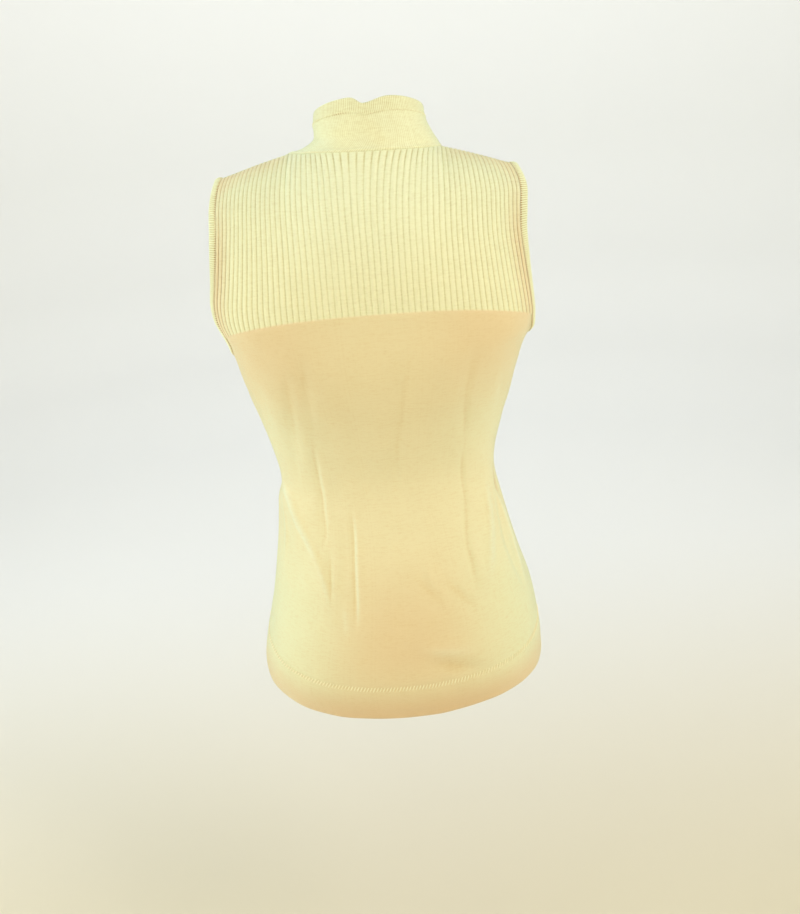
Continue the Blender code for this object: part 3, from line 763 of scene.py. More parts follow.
class Cloth:
    """Points, faces and marks of one closed piece of knit."""

    def __init__(self):
        self.points, self.faces, self.outward = [], [], []
        self.marks = {mark: [] for mark in MARKS}

    def add(self, points, outward, **marks):
        """Adds a grid of points and gives their numbers in the same order."""
        start = sum(len(some) for some in self.points)
        shape = points.shape[:-1]
        self.points.append(points.reshape(-1, 3))
        self.outward.append(np.broadcast_to(outward, points.shape).reshape(-1, 3))
        for mark in MARKS:
            self.marks[mark].append(np.broadcast_to(np.asarray(marks.get(mark, 0.0), float), shape).ravel())
        return np.arange(start, start + len(self.points[-1])).reshape(shape)

    def face(self, *corners):
        self.faces.append([int(corner) for corner in corners])

    def join(self, row, other, marks=None):
        """Faces between two rows. Marks say which points of the longer one face the points of the shorter."""
        marks = range(len(row)) if marks is None else marks
        for i, (start, end) in enumerate(zip(marks, marks[1:])):
            self.face(row[i], row[i + 1], *(other[j] for j in range(end, start - 1, -1)))

    def skin(self, rows):
        """Faces between each row and the next."""
        for row, above in zip(rows, rows[1:]):
            self.join(row, above)

    def tube(self, loops):
        """Faces over loops that close on themselves, with the last joined to the first."""
        loops = np.concatenate([loops, loops[:1]])
        self.skin(np.concatenate([loops, loops[:, :1]], axis=1))

    def build(self, name, full_round=0):
        """The mesh as a piece. Where the knit closes on itself, full_round is its number of wales."""
        mesh = bpy.data.meshes.new(name)
        mesh.from_pydata(sway(np.concatenate(self.points)).tolist(), [], self.faces)
        for mark in MARKS[2:]:
            values = mesh.attributes.new(mark, "FLOAT", "POINT")
            values.data.foreach_set("value", np.concatenate(self.marks[mark]).astype(np.float32))
        outward = mesh.attributes.new("outward", "FLOAT_VECTOR", "POINT")
        outward.data.foreach_set("vector", np.concatenate(self.outward).astype(np.float32).ravel())
        corners = np.empty(len(mesh.loops), np.int32)
        mesh.loops.foreach_get("vertex_index", corners)
        wale, course = (np.concatenate(self.marks[mark])[corners] for mark in MARKS[:2])
        if full_round:
            starts, sizes = (np.empty(len(mesh.polygons), np.int32) for _ in range(2))
            mesh.polygons.foreach_get("loop_start", starts)
            mesh.polygons.foreach_get("loop_total", sizes)
            last = np.repeat(np.maximum.reduceat(wale, starts), sizes)
            wale = np.where(wale < last - full_round / 2, wale + full_round, wale)
        knit = np.stack([wale, course], axis=-1)
        mesh.uv_layers.new(name="knit").data.foreach_set("uv", knit.astype(np.float32).ravel())
        form = bmesh.new()
        form.from_mesh(mesh)
        bmesh.ops.recalc_face_normals(form, faces=form.faces)
        form.to_mesh(mesh)
        form.free()
        mesh.polygons.foreach_set("use_smooth", np.ones(len(mesh.polygons), bool))
        piece = bpy.data.objects.new(name, mesh)
        bpy.context.scene.collection.objects.link(piece)
        return piece


def seamed(form):
    """The panel's grids with their edges drawn in, to leave half a seam gap."""
    rim, moved = len(RIM), []
    by_armhole = (slice(0, rim), slice(len(form["across"]) - rim, None))
    by_shoulders = (slice(0, NECK.start + 1), NECK, slice(NECK.stop - 1, None))
    for name, parts in (("plain", by_armhole), ("yoke", by_shoulders)):
        grid, normals = form[name], form[name + "_normals"]
        points = grid.copy()
        for side, beside in ((0, 1), (-1, -2)):
            points[:, side] += draw_in(grid[:, side], normals[:, side], grid[:, beside])
        for part in parts:
            points[-1, part] += draw_in(grid[-1, part], normals[-1, part], grid[-2, part])
        moved.append(points)
    return moved


def thinned(count, step, rim=0):
    """Every few of the rows or columns, and all of them within a rim at either end."""
    return sorted({*range(rim), *range(rim, count - rim, step), *range(count - rim - 1, count)})


def panel_side(cloth, form, plain, upper, depth):
    """Lays one side of a panel. Depth 0 is the outside, 1 the inside, which has fewer rows and columns."""
    across, levels, rim = form["across"], form["levels"], len(RIM)
    yoke_levels, step = np.array(YOKE_LEVELS), 1 if depth == 0 else 3
    rows, places = thinned(len(levels), step), thinned(len(across), step, rim)
    high = thinned(len(yoke_levels), min(step, 2))
    columns = list(range(COLUMNS)) if depth == 0 else INNER_MARKS
    body_marks = BODY_MARKS if depth == 0 else INNER_MARKS
    wall = np.interp(levels, [0.93, 1.0, 1.0075], [HEM_WALL, (HEM_WALL + PLAIN_WALL) / 2, PLAIN_WALL])
    body_points = plain - form["plain_normals"] * (wall * depth)[:, None, None]
    yoke_points = upper - form["yoke_normals"] * PLAIN_WALL * depth

    swell = np.interp(yoke_levels, *zip(*RIB_SWELL))
    yoke_lift = ease((1 - np.abs(ACROSS)) * YOKE_SHARE / LIFT_ASIDE) * (yoke_levels < 2.5)[:, None]
    below = top_height(form["face"], np.abs(across)) - form["plain"][..., 2]
    plain_lift = ease(1 - below / LIFT_BELOW) * ease((YOKE_SHARE - np.abs(across)) / LIFT_ASIDE)

    picked = np.ix_(high, columns)
    facts = {
        "wale": ACROSS[columns] * HALF_RIBS * WALES_PER_RIB,
        "course": course_of(yoke_levels[high])[:, None],
        "rib": ACROSS[columns] * HALF_RIBS,
        "swell": swell[high][:, None] * (1 - depth),
        "lift": yoke_lift[picked] * (1 - depth),
        "yoke": np.clip((yoke_levels[high] - 2) / 0.004, 0, 1)[:, None],
    }
    yoke = cloth.add(yoke_points[picked], form["yoke_normals"][picked], inside=depth, level=2.0, **facts)
    picked = np.ix_(rows[:-1], places)
    facts = {
        "wale": across[places] * HALF_WALES,
        "course": course_of(levels[rows[:-1]])[:, None],
        "lift": plain_lift[picked] * (1 - depth),
        "level": levels[rows[:-1]][:, None],
        "crease": form["crease"][picked] * (1 - depth),
    }
    body_rows = cloth.add(body_points[picked], form["plain_normals"][picked], inside=depth, **facts)
    ends = []
    for part in (places[:rim], places[-rim:]):
        facts = {"wale": across[part] * HALF_WALES, "course": course_of(2.0), "level": 2.0}
        ends.append(cloth.add(body_points[-1, part], form["plain_normals"][-1, part], inside=depth, **facts))
    top = np.concatenate([ends[0], yoke[0], ends[1]])
    under_yoke = [columns.index(mark) + rim for mark in body_marks]
    cloth.skin(body_rows)
    cloth.join(body_rows[-1], top, [*range(rim), *under_yoke, *range(len(top) - rim, len(top))])
    cloth.skin(yoke)
    laid = {"rows": body_rows, "yoke": yoke, "top": top}
    return {**laid, "row_marks": rows, "yoke_marks": high, "places": places}


def turn_hem(cloth, form, edge, outer, inner):
    """Rounds the hem's lower fold, from the outside to the turned hem inside."""
    normals, wale, lower = form["plain_normals"][0], form["across"] * HALF_WALES, []
    for angle in (30, 60, 90, 120, 150):
        turn = math.radians(angle)
        drop = np.array([0, 0, -HEM_ROLL * math.sin(turn)])
        point = edge - normals * HEM_WALL * (1 - math.cos(turn)) / 2 + drop
        lower.append(cloth.add(point, normals, wale=wale, course=-1.0 - angle / 60))
    cloth.skin([outer["rows"][0], *lower])
    cloth.join(inner["rows"][0], lower[-1], inner["places"])
    for end in (0, -1):
        cloth.face(outer["rows"][0, end], *(row[end] for row in lower), inner["rows"][0, end])


def panel(name, form):
    """One panel as one knit: ribbed yoke, plain body and turned hem."""
    plain, upper = seamed(form)
    cloth, rim = Cloth(), len(RIM)
    outer, inner = (panel_side(cloth, form, plain, upper, depth) for depth in (0.0, 1.0))
    for end in (0, -1):
        inside, outside = (np.append(side["rows"][:, end], side["top"][end]) for side in (inner, outer))
        cloth.join(inside, outside, inner["row_marks"])
        cloth.join(inner["yoke"][:, end], outer["yoke"][:, end], inner["yoke_marks"])
    for part in (slice(0, rim + 1), slice(-rim - 1, None)):
        cloth.join(outer["top"][part], inner["top"][part])
    cloth.join(inner["yoke"][-1], outer["yoke"][-1], INNER_MARKS)
    turn_hem(cloth, form, plain[0], outer, inner)
    return cloth.build(name)


def collar():
    """A doubled band round the neckline, folded in at the top and linked down 13 mm below the fold."""
    quarter = np.sin(np.linspace(0, math.pi / 2, 75))
    half = np.concatenate([-quarter[:0:-1], quarter])
    loop = [("back", half), ("front", half[-2:0:-1])]
    edge_points = np.concatenate([top_seam(face, at * NECK_RIBS / HALF_RIBS) for face, at in loop])
    sine = edge_points[:, 0] / NECK_HALF_WIDTH
    behind = np.concatenate([np.full(len(at), face == "back") for face, at in loop])
    knots = np.array(COLLAR_KNOTS)
    foot, linked = [0, 0.012, 0.026, 0.042, 0.060, 0.085, 0.12], [0.69, 0.705, 0.72, 0.735, 0.75, 0.77]
    rise = np.concatenate([foot, np.linspace(0.15, 0.67, 22), linked, np.linspace(0.79, 1, 11)])
    ring = {name: smooth(knots, COLLAR[name], rise) for name in COLLAR}
    for name in ("wall", "stand", "dip"):
        ring[name] = np.interp(rise, knots, COLLAR[name])
    rings = []
    for i in range(len(rise)):
        bow = np.clip(1 - sine**2, 0, 1) ** ring["power"][i]
        y = bow * np.where(behind, ring["back"][i], ring["front"][i])
        side = ring["side_height"][i]
        z = side + (np.where(behind, ring["back_height"][i], ring["front_height"][i]) - side) * bow
        x = ring["half_width"][i] * sine + ring["across"][i] - ring["spread"][i] * np.clip(-sine, 0, 1) ** 4
        z = z + SHOULDER_TILT * x * ease(1 - rise[i] / 0.45)
        dip_width = np.where(x > DIP_PLACE, DIP_WIDTH["left"], DIP_WIDTH["right"])
        z = z - DIP_DEPTH * ring["dip"][i] * behind * np.exp(-(((x - DIP_PLACE) / dip_width) ** 2))
        rings.append(np.stack([x, y, z], axis=-1))
    rings = np.stack(rings)
    around = np.stack([closed_gradient(ring_points) for ring_points in rings])
    normals = unit(np.cross(around, np.gradient(rings, axis=0)))
    normals *= np.sign(np.sum(normals * (rings - COLLAR_MIDDLE) * [1, 1, 0], axis=-1, keepdims=True))
    roll = FOOT_ROLL * np.exp(-(((rise - ROLL_LEVEL) / ROLL_WIDTH) ** 2))
    stand = ring["stand"] + roll
    outer = rings + normals * stand[:, None, None]
    inner = rings - normals * ring["wall"][:, None, None]
    lengths = np.linalg.norm(closed_gradient(rings[-1]) / 2, axis=-1)
    along = np.cumsum(lengths) - lengths[0]
    wales = round(lengths.sum() / COLLAR_WALE)
    wale = wales * along / lengths.sum()
    up = COLLAR_LENGTH * rise / COURSE
    cloth = Cloth()
    upwards = unit(rings[1] - rings[0])
    outer[0] = rings[0] + normals[0] * FOOT_OUT - upwards * FOOT_UNDER
    loops = [cloth.add(outer, normals, wale=wale, course=up[:, None], level=rise[:, None])]
    turned = []
    for angle in (36, 72, 108, 144):
        turn = math.radians(angle)
        centre, reach = (outer[-1] + inner[-1]) / 2, (outer[-1] - inner[-1]) / 2
        point = centre + reach * math.cos(turn) + np.array([0, 0, FOLD_HEIGHT]) * math.sin(turn)
        turned.append(cloth.add(point, normals[-1], wale=wale, course=up[-1] + 1 + angle / 60, level=1.0))
    facts = {"wale": wale, "course": up[::-2, None], "level": rise[::-2, None]}
    inside = cloth.add(inner[::-2], -normals[::-2], inside=1.0, **facts)
    lip = []
    for out, down in FOOT_INSIDE:
        lip.append(cloth.add(rings[0] + normals[0] * out - upwards * down, normals[0], wale=wale, inside=1.0))
    cloth.tube(np.concatenate([loops[0], np.stack(turned), inside, np.stack(lip)]))
    return cloth.build("collar_knit", wales), {"rings": outer, "normals": normals, "rise": rise}


def closed_smooth(values, along, at):
    """A cubic round a closed row of points, where along ends with the whole way round."""
    total = along[-1]
    key = np.concatenate([along[:-1][-3:] - total, along[:-1], along[:-1][:3] + total])
    padded = np.concatenate([values[-3:], values, values[:3]])
    return np.stack([smooth(key, padded[:, i], at) for i in range(values.shape[1])], axis=-1)


def armhole_band(name, end, back, front):
    """A narrow knitted band round one armhole, its wales lying across it."""
    rim = len(RIM)
    beside = -2 if end else 1
    loops = {"points": [], "normals": [], "inside": []}
    for part, ahead in ((back, True), (front, False)):
        for key, plain, upper in (
            ("points", part["plain"][-1], part["yoke"][:, end]),
            ("normals", part["plain_normals"][-1], part["yoke_normals"][:, end]),
            ("inside", part["plain"][-2], part["yoke"][:, beside]),
        ):
            beyond = plain[-rim:][::-1] if end else plain[:rim]
            edge = np.concatenate([beyond, upper[1:]])
            loops[key].append(edge if ahead else edge[-2:0:-1])
    points, normals, inside = (np.concatenate(loops[key]) for key in loops)
    out = unit(np.cross(closed_gradient(points), normals))
    out *= np.sign(np.sum(out * (points - inside), axis=-1, keepdims=True))
    for _ in range(6):
        out = unit(np.roll(out, 1, axis=0) + 2 * out + np.roll(out, -1, axis=0))
    steps = np.linalg.norm(np.roll(points, -1, axis=0) - points, axis=-1)
    along = np.concatenate([[0], np.cumsum(steps)])
    ticks = round(along[-1] / BAND_WALE)
    at = np.arange(ticks * 6) / (ticks * 6)
    found = (closed_smooth(values, along, at * along[-1]) for values in (points, normals, out))
    points, normals, out = found
    normals, out = unit(normals), unit(out)
    edge = zip(BAND["out"], BAND["height"])
    around = np.stack([points + out * reach + normals * height for reach, height in edge])
    middle = points + out * BAND_MIDDLE[0] + normals * BAND_MIDDLE[1]
    outward = unit(around - middle)
    cloth = Cloth()
    strips = np.hypot(np.diff(BAND["out"]), np.diff(BAND["height"]))
    facts = {
        "wale": at * ticks,
        "course": np.concatenate([[0], np.cumsum(strips)])[:, None] / COURSE,
        "rib": at * ticks,
        "swell": BAND["swell"][:, None],
        "yoke": 1.0,
    }
    cloth.tube(cloth.add(around, outward, **facts))
    return cloth.build(name, ticks), {"points": points, "normals": normals, "out": out}


# ---------------------------------------------------------------- node trees


class Strand:
    """A value in a node tree, with Python's arithmetic."""

    def __init__(self, tree, socket):
        self.tree, self.socket = tree, socket

    def maths(self, operation, *others):
        return self.tree.node("ShaderNodeMath", {"operation": operation}, dict(enumerate((self, *others))))

    def __add__(self, other):
        return self.maths("ADD", other)

    def __sub__(self, other):
        return self.maths("SUBTRACT", other)

    def __rsub__(self, other):
        return self.maths("MULTIPLY_ADD", -1.0, other)

    def __mul__(self, other):
        return self.maths("MULTIPLY", other)

    def __truediv__(self, other):
        return self.maths("DIVIDE", other)

    def __pow__(self, other):
        return self.maths("POWER", other)

    __radd__, __rmul__ = __add__, __mul__

    def fraction(self):
        return self.maths("FRACT")

    def size(self):
        """The value without its sign."""
        return self.maths("ABSOLUTE")

    def held(self):
        """The value kept from 0 to 1."""
        return self.tree.node("ShaderNodeClamp", {}, {0: self})

    def ramp(self, low, high):
        """0 below low and 1 above high, with a soft change between them."""
        settings = {"interpolation_type": "SMOOTHSTEP"}
        return self.tree.node("ShaderNodeMapRange", settings, {0: self, 1: float(low), 2: float(high)})


class Tree:
    """Builds the nodes of one finish or of one group of Geometry Nodes."""

    def __init__(self, nodes):
        self.nodes = nodes

    def node(self, kind, settings=None, inputs=None, output=0):
        """Adds a node with its settings and inputs, and gives one of its outputs, or the node for None."""
        made = self.nodes.nodes.new(kind)
        for name, value in (settings or {}).items():
            setattr(made, name, value)
        for key, value in (inputs or {}).items():
            socket = made.inputs[key]
            if isinstance(value, Strand):
                self.nodes.links.new(value.socket, socket)
            else:
                socket.default_value = value
        if output is None:
            return made
        return Strand(self, made.outputs[output])

    def vector(self, operation, a, b):
        return self.node("ShaderNodeVectorMath", {"operation": operation}, {0: a, 1: b})

    def mix(self, factor, a, b):
        """Colour a where the factor is 0, colour b where it is 1."""
        settings = {"data_type": "RGBA", "clamp_factor": True}
        return self.node("ShaderNodeMix", settings, {0: factor, 6: a, 7: b}, 2)


def colour(hexes):
    """An sRGB colour of three numbers up to 255 as linear RGBA."""
    line = [value / 255 for value in hexes]
    line = [value / 12.92 if value <= 0.04045 else ((value + 0.055) / 1.055) ** 2.4 for value in line]
    return (*line, 1.0)


class Group(Tree):
    """A group of Geometry Nodes that takes a shape, sizes and a finish, and gives a mesh."""

    def __init__(self, name, taken, given, sizes):
        super().__init__(bpy.data.node_groups.new(name, "GeometryNodeTree"))
        face = self.nodes.interface
        face.new_socket(taken, in_out="INPUT", socket_type="NodeSocketGeometry")
        for size, value in sizes:
            face.new_socket(size, in_out="INPUT", socket_type="NodeSocketFloat").default_value = value
        face.new_socket("Finish", in_out="INPUT", socket_type="NodeSocketMaterial")
        face.new_socket(given, in_out="OUTPUT", socket_type="NodeSocketGeometry")
        made = self.node("NodeGroupInput", output=None)
        self.taken, *self.sizes, self.finish = (Strand(self, made.outputs[i]) for i in range(len(sizes) + 2))

    def mark(self, name, kind="FLOAT"):
        return self.node("GeometryNodeInputNamedAttribute", {"data_type": kind}, {"Name": name})

    def give(self, shape):
        """Ends the group: real meshes with the finish on them."""
        whole = self.node("GeometryNodeRealizeInstances", {}, {0: shape})
        done = self.node("GeometryNodeSetMaterial", {}, {"Geometry": whole, "Material": self.finish})
        self.nodes.links.new(done.socket, self.nodes.nodes.new("NodeGroupOutput").inputs[0])
        return self.nodes


def rib_maker():
    """Geometry Nodes that raise ribs on cloth, along its outward marks."""
    group = Group("raise ribs", "Cloth", "Cloth", (("Rib height", RIB_HEIGHT), ("Roundness", 0.5)))
    height, roundness = group.sizes
    crown = (group.mark("rib").fraction() * math.pi).maths("SINE").maths("MAXIMUM", 0.0) ** roundness
    lift = group.mark("lift")
    rise = (lift + (crown - lift) * group.mark("swell")) * height
    outward = group.mark("outward", "FLOAT_VECTOR")
    offset = group.node("ShaderNodeVectorMath", {"operation": "SCALE"}, {0: outward, "Scale": rise})
    return group.give(group.node("GeometryNodeSetPosition", {}, {"Geometry": group.taken, "Offset": offset}))


def stitch_maker():
    """Geometry Nodes that lay stitches of yarn at an even pitch along a line on the cloth."""
    sizes = [("Pitch", 0.0034), ("Length", 0.0050), ("Width", 0.0011), ("Height", 0.0008)]
    group = Group("sew along", "Line", "Stitches", [*sizes, ("Lean", 0.5), ("Unevenness", 0.1)])
    pitch, length, width, height, lean, uneven = group.sizes
    curve = group.node("GeometryNodeMeshToCurve", {}, {0: group.taken})
    places = group.node("GeometryNodeResampleCurve", {"mode": "LENGTH"}, {"Curve": curve, "Length": pitch})
    axes = {"Primary Axis": group.mark("outward", "FLOAT_VECTOR")}
    axes["Secondary Axis"] = group.node("GeometryNodeInputTangent")
    turn = group.node("FunctionNodeAxesToRotation", {"primary_axis": "Z", "secondary_axis": "X"}, axes)
    bead = group.node("GeometryNodeMeshUVSphere", {}, {"Segments": 8, "Rings": 5, "Radius": 0.5})
    extent = group.node("ShaderNodeCombineXYZ", {}, {0: length, 1: width, 2: height})
    bead = group.node("GeometryNodeTransform", {}, {"Geometry": bead, "Scale": extent})
    laid = group.node("ShaderNodeCombineXYZ", {}, {2: lean})
    bead = group.node("GeometryNodeTransform", {}, {"Geometry": bead, "Rotation": laid})
    bead = group.node("GeometryNodeSetShadeSmooth", {}, {"Geometry": bead})
    chance = group.node("FunctionNodeRandomValue", {"data_type": "FLOAT"}, {2: -1.0, 3: 1.0, "Seed": 7}, 1)
    grow = chance * uneven + 1.0
    scale = group.node("ShaderNodeCombineXYZ", {}, {0: grow, 1: grow, 2: 1.0})
    laid_out = {"Points": places, "Instance": bead, "Rotation": turn, "Scale": scale}
    return group.give(group.node("GeometryNodeInstanceOnPoints", {}, laid_out))


def work(piece, nodes, finish, **sizes):
    """Runs a group of Geometry Nodes on a piece and keeps the result as its plain mesh."""
    modifier = piece.modifiers.new("work", "NODES")
    modifier.node_group = nodes
    names = {name.replace("_", " "): value for name, value in sizes.items()}
    names["Finish"] = finish
    for item in nodes.interface.items_tree:
        if item.in_out == "INPUT" and item.name in names:
            modifier[item.identifier] = names[item.name]
    view = bpy.context.evaluated_depsgraph_get()
    worked = piece.evaluated_get(view)
    mesh = bpy.data.meshes.new_from_object(worked, preserve_all_data_layers=True, depsgraph=view)
    piece.modifiers.remove(modifier)
    mesh.name = piece.name
    piece.data = mesh
    if not mesh.materials:
        mesh.materials.append(finish)
    return piece


def sewing_line(name, points, outward, closed=False):
    """A line on the cloth for stitches to follow."""
    mesh = bpy.data.meshes.new(name)
    count = len(points)
    edges = [(i, i + 1) for i in range(count - 1)] + ([(count - 1, 0)] if closed else [])
    mesh.from_pydata(sway(points).tolist(), edges, [])
    marks = mesh.attributes.new("outward", "FLOAT_VECTOR", "POINT")
    marks.data.foreach_set("vector", unit(outward).astype(np.float32).ravel())
    piece = bpy.data.objects.new(name, mesh)
    bpy.context.scene.collection.objects.link(piece)
    return piece


# ---------------------------------------------------------------- finishes

# Tones of the yarn where it lies plain and on the ribs, with painted light (a paler waist, sheen at the sides, paler
# rib crests, the shoulders and crease edges), painted warm shade (the body's top corners and low middle, near the
# hem's edge, by the armholes) and shade tones
PLAIN_KNIT = colour((237, 222, 177))
WAIST_PAINTED_LIGHT = colour((243, 233, 190))
WARM_PAINTED_SHADE = colour((233, 205, 158))
SIDE_PAINTED_SHEEN = colour((234, 238, 197))
HEM_PAINTED_SHADE = colour((232, 194, 147))
RIB_CREST = colour((241, 244, 209))
RIB_FOOT = colour((243, 240, 197))
ARMHOLE_PAINTED_SHADE = colour((236, 208, 164))
SHOULDER_PAINTED_LIGHT = colour((250, 229, 180))
TAN_SHADE = colour((214, 178, 104))
OLIVE_SHADE = colour((203, 190, 128))
EDGE_LIGHT = colour((241, 245, 216))
BROWN_SHADE = colour((178, 138, 86))


class Finish(Tree):
    """A material that ends in one Principled shader."""

    def __init__(self, name):
        self.material = bpy.data.materials.new(name)
        self.material.use_nodes = True
        super().__init__(self.material.node_tree)
        self.shader = self.nodes.nodes["Principled BSDF"]

    def mark(self, name):
        return self.node("ShaderNodeAttribute", {"attribute_name": name}, output="Fac")

    def place(self, axis):
        place = self.node("ShaderNodeTexCoord", output="Object")
        return self.node("ShaderNodeSeparateXYZ", {}, {0: place}, axis)

    def noise(self, scale, detail=2.0, stretch=(1, 1, 1)):
        place = self.node("ShaderNodeTexCoord", output="Object")
        place = self.vector("MULTIPLY", place, stretch)
        return self.node("ShaderNodeTexNoise", {}, {"Vector": place, "Scale": float(scale), "Detail": detail})

    def feed(self, **inputs):
        for name, value in inputs.items():
            socket = self.shader.inputs[name.replace("_", " ")]
            if isinstance(value, Strand):
                self.nodes.links.new(value.socket, socket)
            else:
                socket.default_value = value


class Knit(Finish):
    """Fine knit: V-shaped stitches outside, purl bumps inside and in the valleys between the ribs."""

    def __init__(self, name):
        super().__init__(name)
        places = self.node("ShaderNodeUVMap", {"uv_map": "knit"})
        split = self.node("ShaderNodeSeparateXYZ", {}, {0: places}, None)
        self.wale, self.course = (Strand(self, split.outputs[axis]) for axis in range(2))
        self.inside = self.mark("inside")
        self.aside = ((self.wale + 0.5).fraction() - 0.5).size()
        self.fibres = self.noise(900, 1.0)

    def streaks(self, along, step):
        """Slow unevenness from one wale or course to the next."""
        settings, inputs = {"noise_dimensions": "1D"}, {"W": along * step, "Scale": 1.0, "Detail": 2.0}
        return self.node("ShaderNodeTexNoise", settings, inputs) - 0.5

    def unevenness(self):
        """Slow patches, loose fibres, heather and streaks, a little paler than darker."""
        slow = (self.noise(34, 3.0) - 0.5) * 0.14 + (self.fibres - 0.5) * 0.22
        heather = self.noise(165, 4.0, (1, 1, 4.0)) - 0.5
        paler = 0.045
        slow = slow + heather * 0.60 + self.streaks(self.course, 0.37) * 0.12
        return slow + self.streaks(self.wale, 0.61) * 0.16 - paler

    def dress(self, ground, shade_tone, shade, turned, gap=0.16):
        """The stitches' relief and tones. Turned is 1 where the purl side shows."""
        leg = (1 - ((self.aside - 0.25) * 4.0) ** 2.0).held()
        plump = 1 - ((self.course - self.aside * 1.2).fraction() * 2.0 - 1) ** 2.0
        stitch = leg * (plump * 0.6 + 0.4)
        loop = (self.wale * (2 * math.pi)).maths("COSINE") * 0.22
        purl = 1 - ((self.course + loop).fraction() * 2.0 - 1) ** 2.0
        bumps = stitch + (purl - stitch) * turned
        height = bumps * 0.8 + self.fibres * 0.25
        # The gap adds painted shade between the stitches' legs and bumps.
        self.feed(
            Base_Color=self.mix((shade + (1 - bumps) * gap).held(), ground, shade_tone),
            Roughness=0.82 + (self.fibres - 0.5) * 0.2,
            Normal=self.node("ShaderNodeBump", {}, {"Strength": 0.55, "Distance": 0.0004, "Height": height}),
            Sheen_Weight=0.75,
            Sheen_Roughness=0.55,
            Sheen_Tint=(0.86, 1.0, 0.82, 1.0),
            Specular_IOR_Level=0.25,
        )
        return self.material


def panel_finish(name):
    """The ribbed yoke is painted paler than the plain body, as painted light on its rounded ribs, and both carry
    painted warm shade by the armholes and the hem.
    """
    knit = Knit(name)
    out = (knit.wale / float(HALF_RIBS * WALES_PER_RIB)).size()
    up = (knit.course - (COURSES["hem"] + COURSES["body"])) / COURSES["yoke"]
    outside = 1 - knit.inside
    yoke_part = knit.mark("yoke") * up.ramp(-0.004, 0.016) * outside
    level = knit.mark("level")
    # Painted warm shade by the armholes, where the outer ribs turn under; the mask below marks where it lies.
    by_armhole = out.ramp(0.83, 1.0) * (1 - up.ramp(0.35, 0.80) * 0.7) * up.ramp(-0.12, 0.02) * outside
    # Painted warm light on the shoulder slopes, which the lamps reach less.
    shoulder_light = up.ramp(0.74, 0.98) * out.ramp(0.36, 0.60) * outside
    valley = 1 - (0.5 - (knit.mark("rib").fraction() - 0.5).size()).ramp(0.02, 0.21)
    valley = valley * knit.mark("swell")
    # Painted shade along the hem's linking row, in its groove between the raised strokes.
    link_row_shade = (1 - (knit.course - COURSES["hem"]).size().ramp(1.2, 3.4)) * outside

    # Painted light: the waist is painted paler where its hollow turns from the lamps.
    waist_light = level.ramp(1.15, 1.45) * (1 - level.ramp(1.55, 1.85))
    # Painted warm shade in the body's top corners, which also keeps the painted sheen off them.
    corner = out.ramp(0.10, 0.62) * level.ramp(1.62, 1.95)
    # Painted sheen: the body is painted paler and greener towards the sides, where the light grazes it.
    body_ground = knit.mix(out.ramp(0.20, 0.85) * (1 - corner) * 0.8, PLAIN_KNIT, SIDE_PAINTED_SHEEN)
    body_ground = knit.mix(waist_light * 0.8, body_ground, WAIST_PAINTED_LIGHT)
    # Painted warm shade low in the middle of the back, above the hem.
    low_middle_shade = (1 - out.ramp(0.05, 0.55)) * level.ramp(0.95, 1.1) * (1 - level.ramp(1.12, 1.40))
    low_middle_shade = low_middle_shade * knit.place(1).ramp(0.0, 0.03)
    body_ground = knit.mix((corner * 0.55 + low_middle_shade * 0.6).held(), body_ground, WARM_PAINTED_SHADE)
    # Painted warm shade towards the hem's lower edge.
    body_ground = knit.mix((1 - level.ramp(0.05, 1.15)) * 0.75, body_ground, HEM_PAINTED_SHADE)
    # RIB_CREST is paler than PLAIN_KNIT as painted light on the rounded ribs; the yoke turns darker and warmer towards
    # its foot.
    yoke_ground = knit.mix((1 - up.ramp(0.05, 0.75)) * 0.8, RIB_CREST, RIB_FOOT)
    ground = knit.mix(yoke_part, body_ground, yoke_ground)
    ground = knit.mix(shoulder_light * 0.8, ground, SHOULDER_PAINTED_LIGHT)
    # Painted warm shade by the armholes.
    ground = knit.mix(by_armhole * 0.62, ground, ARMHOLE_PAINTED_SHADE)
    # Painted highlights along the sharp creases of the folds, and painted shade beside them.
    crease = knit.mark("crease")
    ground = knit.mix((crease * 0.8).held(), ground, EDGE_LIGHT)
    shade_tone = knit.mix(yoke_part * (1 - shoulder_light), TAN_SHADE, OLIVE_SHADE)
    shade_tone = knit.mix(by_armhole, shade_tone, BROWN_SHADE)
    # Painted shade in the rib valleys, deeper by the armholes, towards the sides and under the collar.
    shade_under_collar = up.ramp(0.82, 1.0) * (1 - out.ramp(0.25, 0.50))
    valley_shade = valley * (by_armhole * 0.32 + out.ramp(0.15, 0.65) * 0.22 + shade_under_collar * 0.45 + 0.27)
    # The yarn's real unevenness, with painted shade in the rib valleys, along the linking row and beside the creases.
    shade = knit.unevenness() + valley_shade + link_row_shade * 0.07 + (crease * -0.6).held()
    return knit.dress(ground, shade_tone, shade, (knit.inside + valley).held())


def collar_finish(name):
    """Finer knit with its wales drawn clearly by painted shade between them, and a row of small holes where the fold
    is linked down.
    """
    knit = Knit(name)
    level = knit.mark("level")
    # Painted shade in the grooves between the collar's wales, stronger towards the fold.
    wale_gap_shade = knit.aside.ramp(0.20, 0.5) * (level.ramp(0.66, 0.80) * 0.30 + 0.32)
    beside = ((knit.wale * PICK_UP_RATE).fraction() - 0.5).size()
    across_row = 1 - ((level - PICK_UP) / 0.020).size().ramp(0.35, 1.0)
    holes = across_row * (1 - beside.ramp(0.14, 0.36)) * ((knit.noise(60, 1.0) - 0.42) * 4.0).held()
    ground = knit.mix(knit.noise(22, 1.0).ramp(0.45, 0.75) * 0.5, RIB_CREST, RIB_FOOT)
    shade_tone = knit.mix(holes.held(), OLIVE_SHADE, BROWN_SHADE)
    shade = knit.unevenness() + wale_gap_shade + holes * 0.50 + across_row * 0.05 + 0.07
    return knit.dress(ground, shade_tone, shade, knit.inside, gap=0.22)


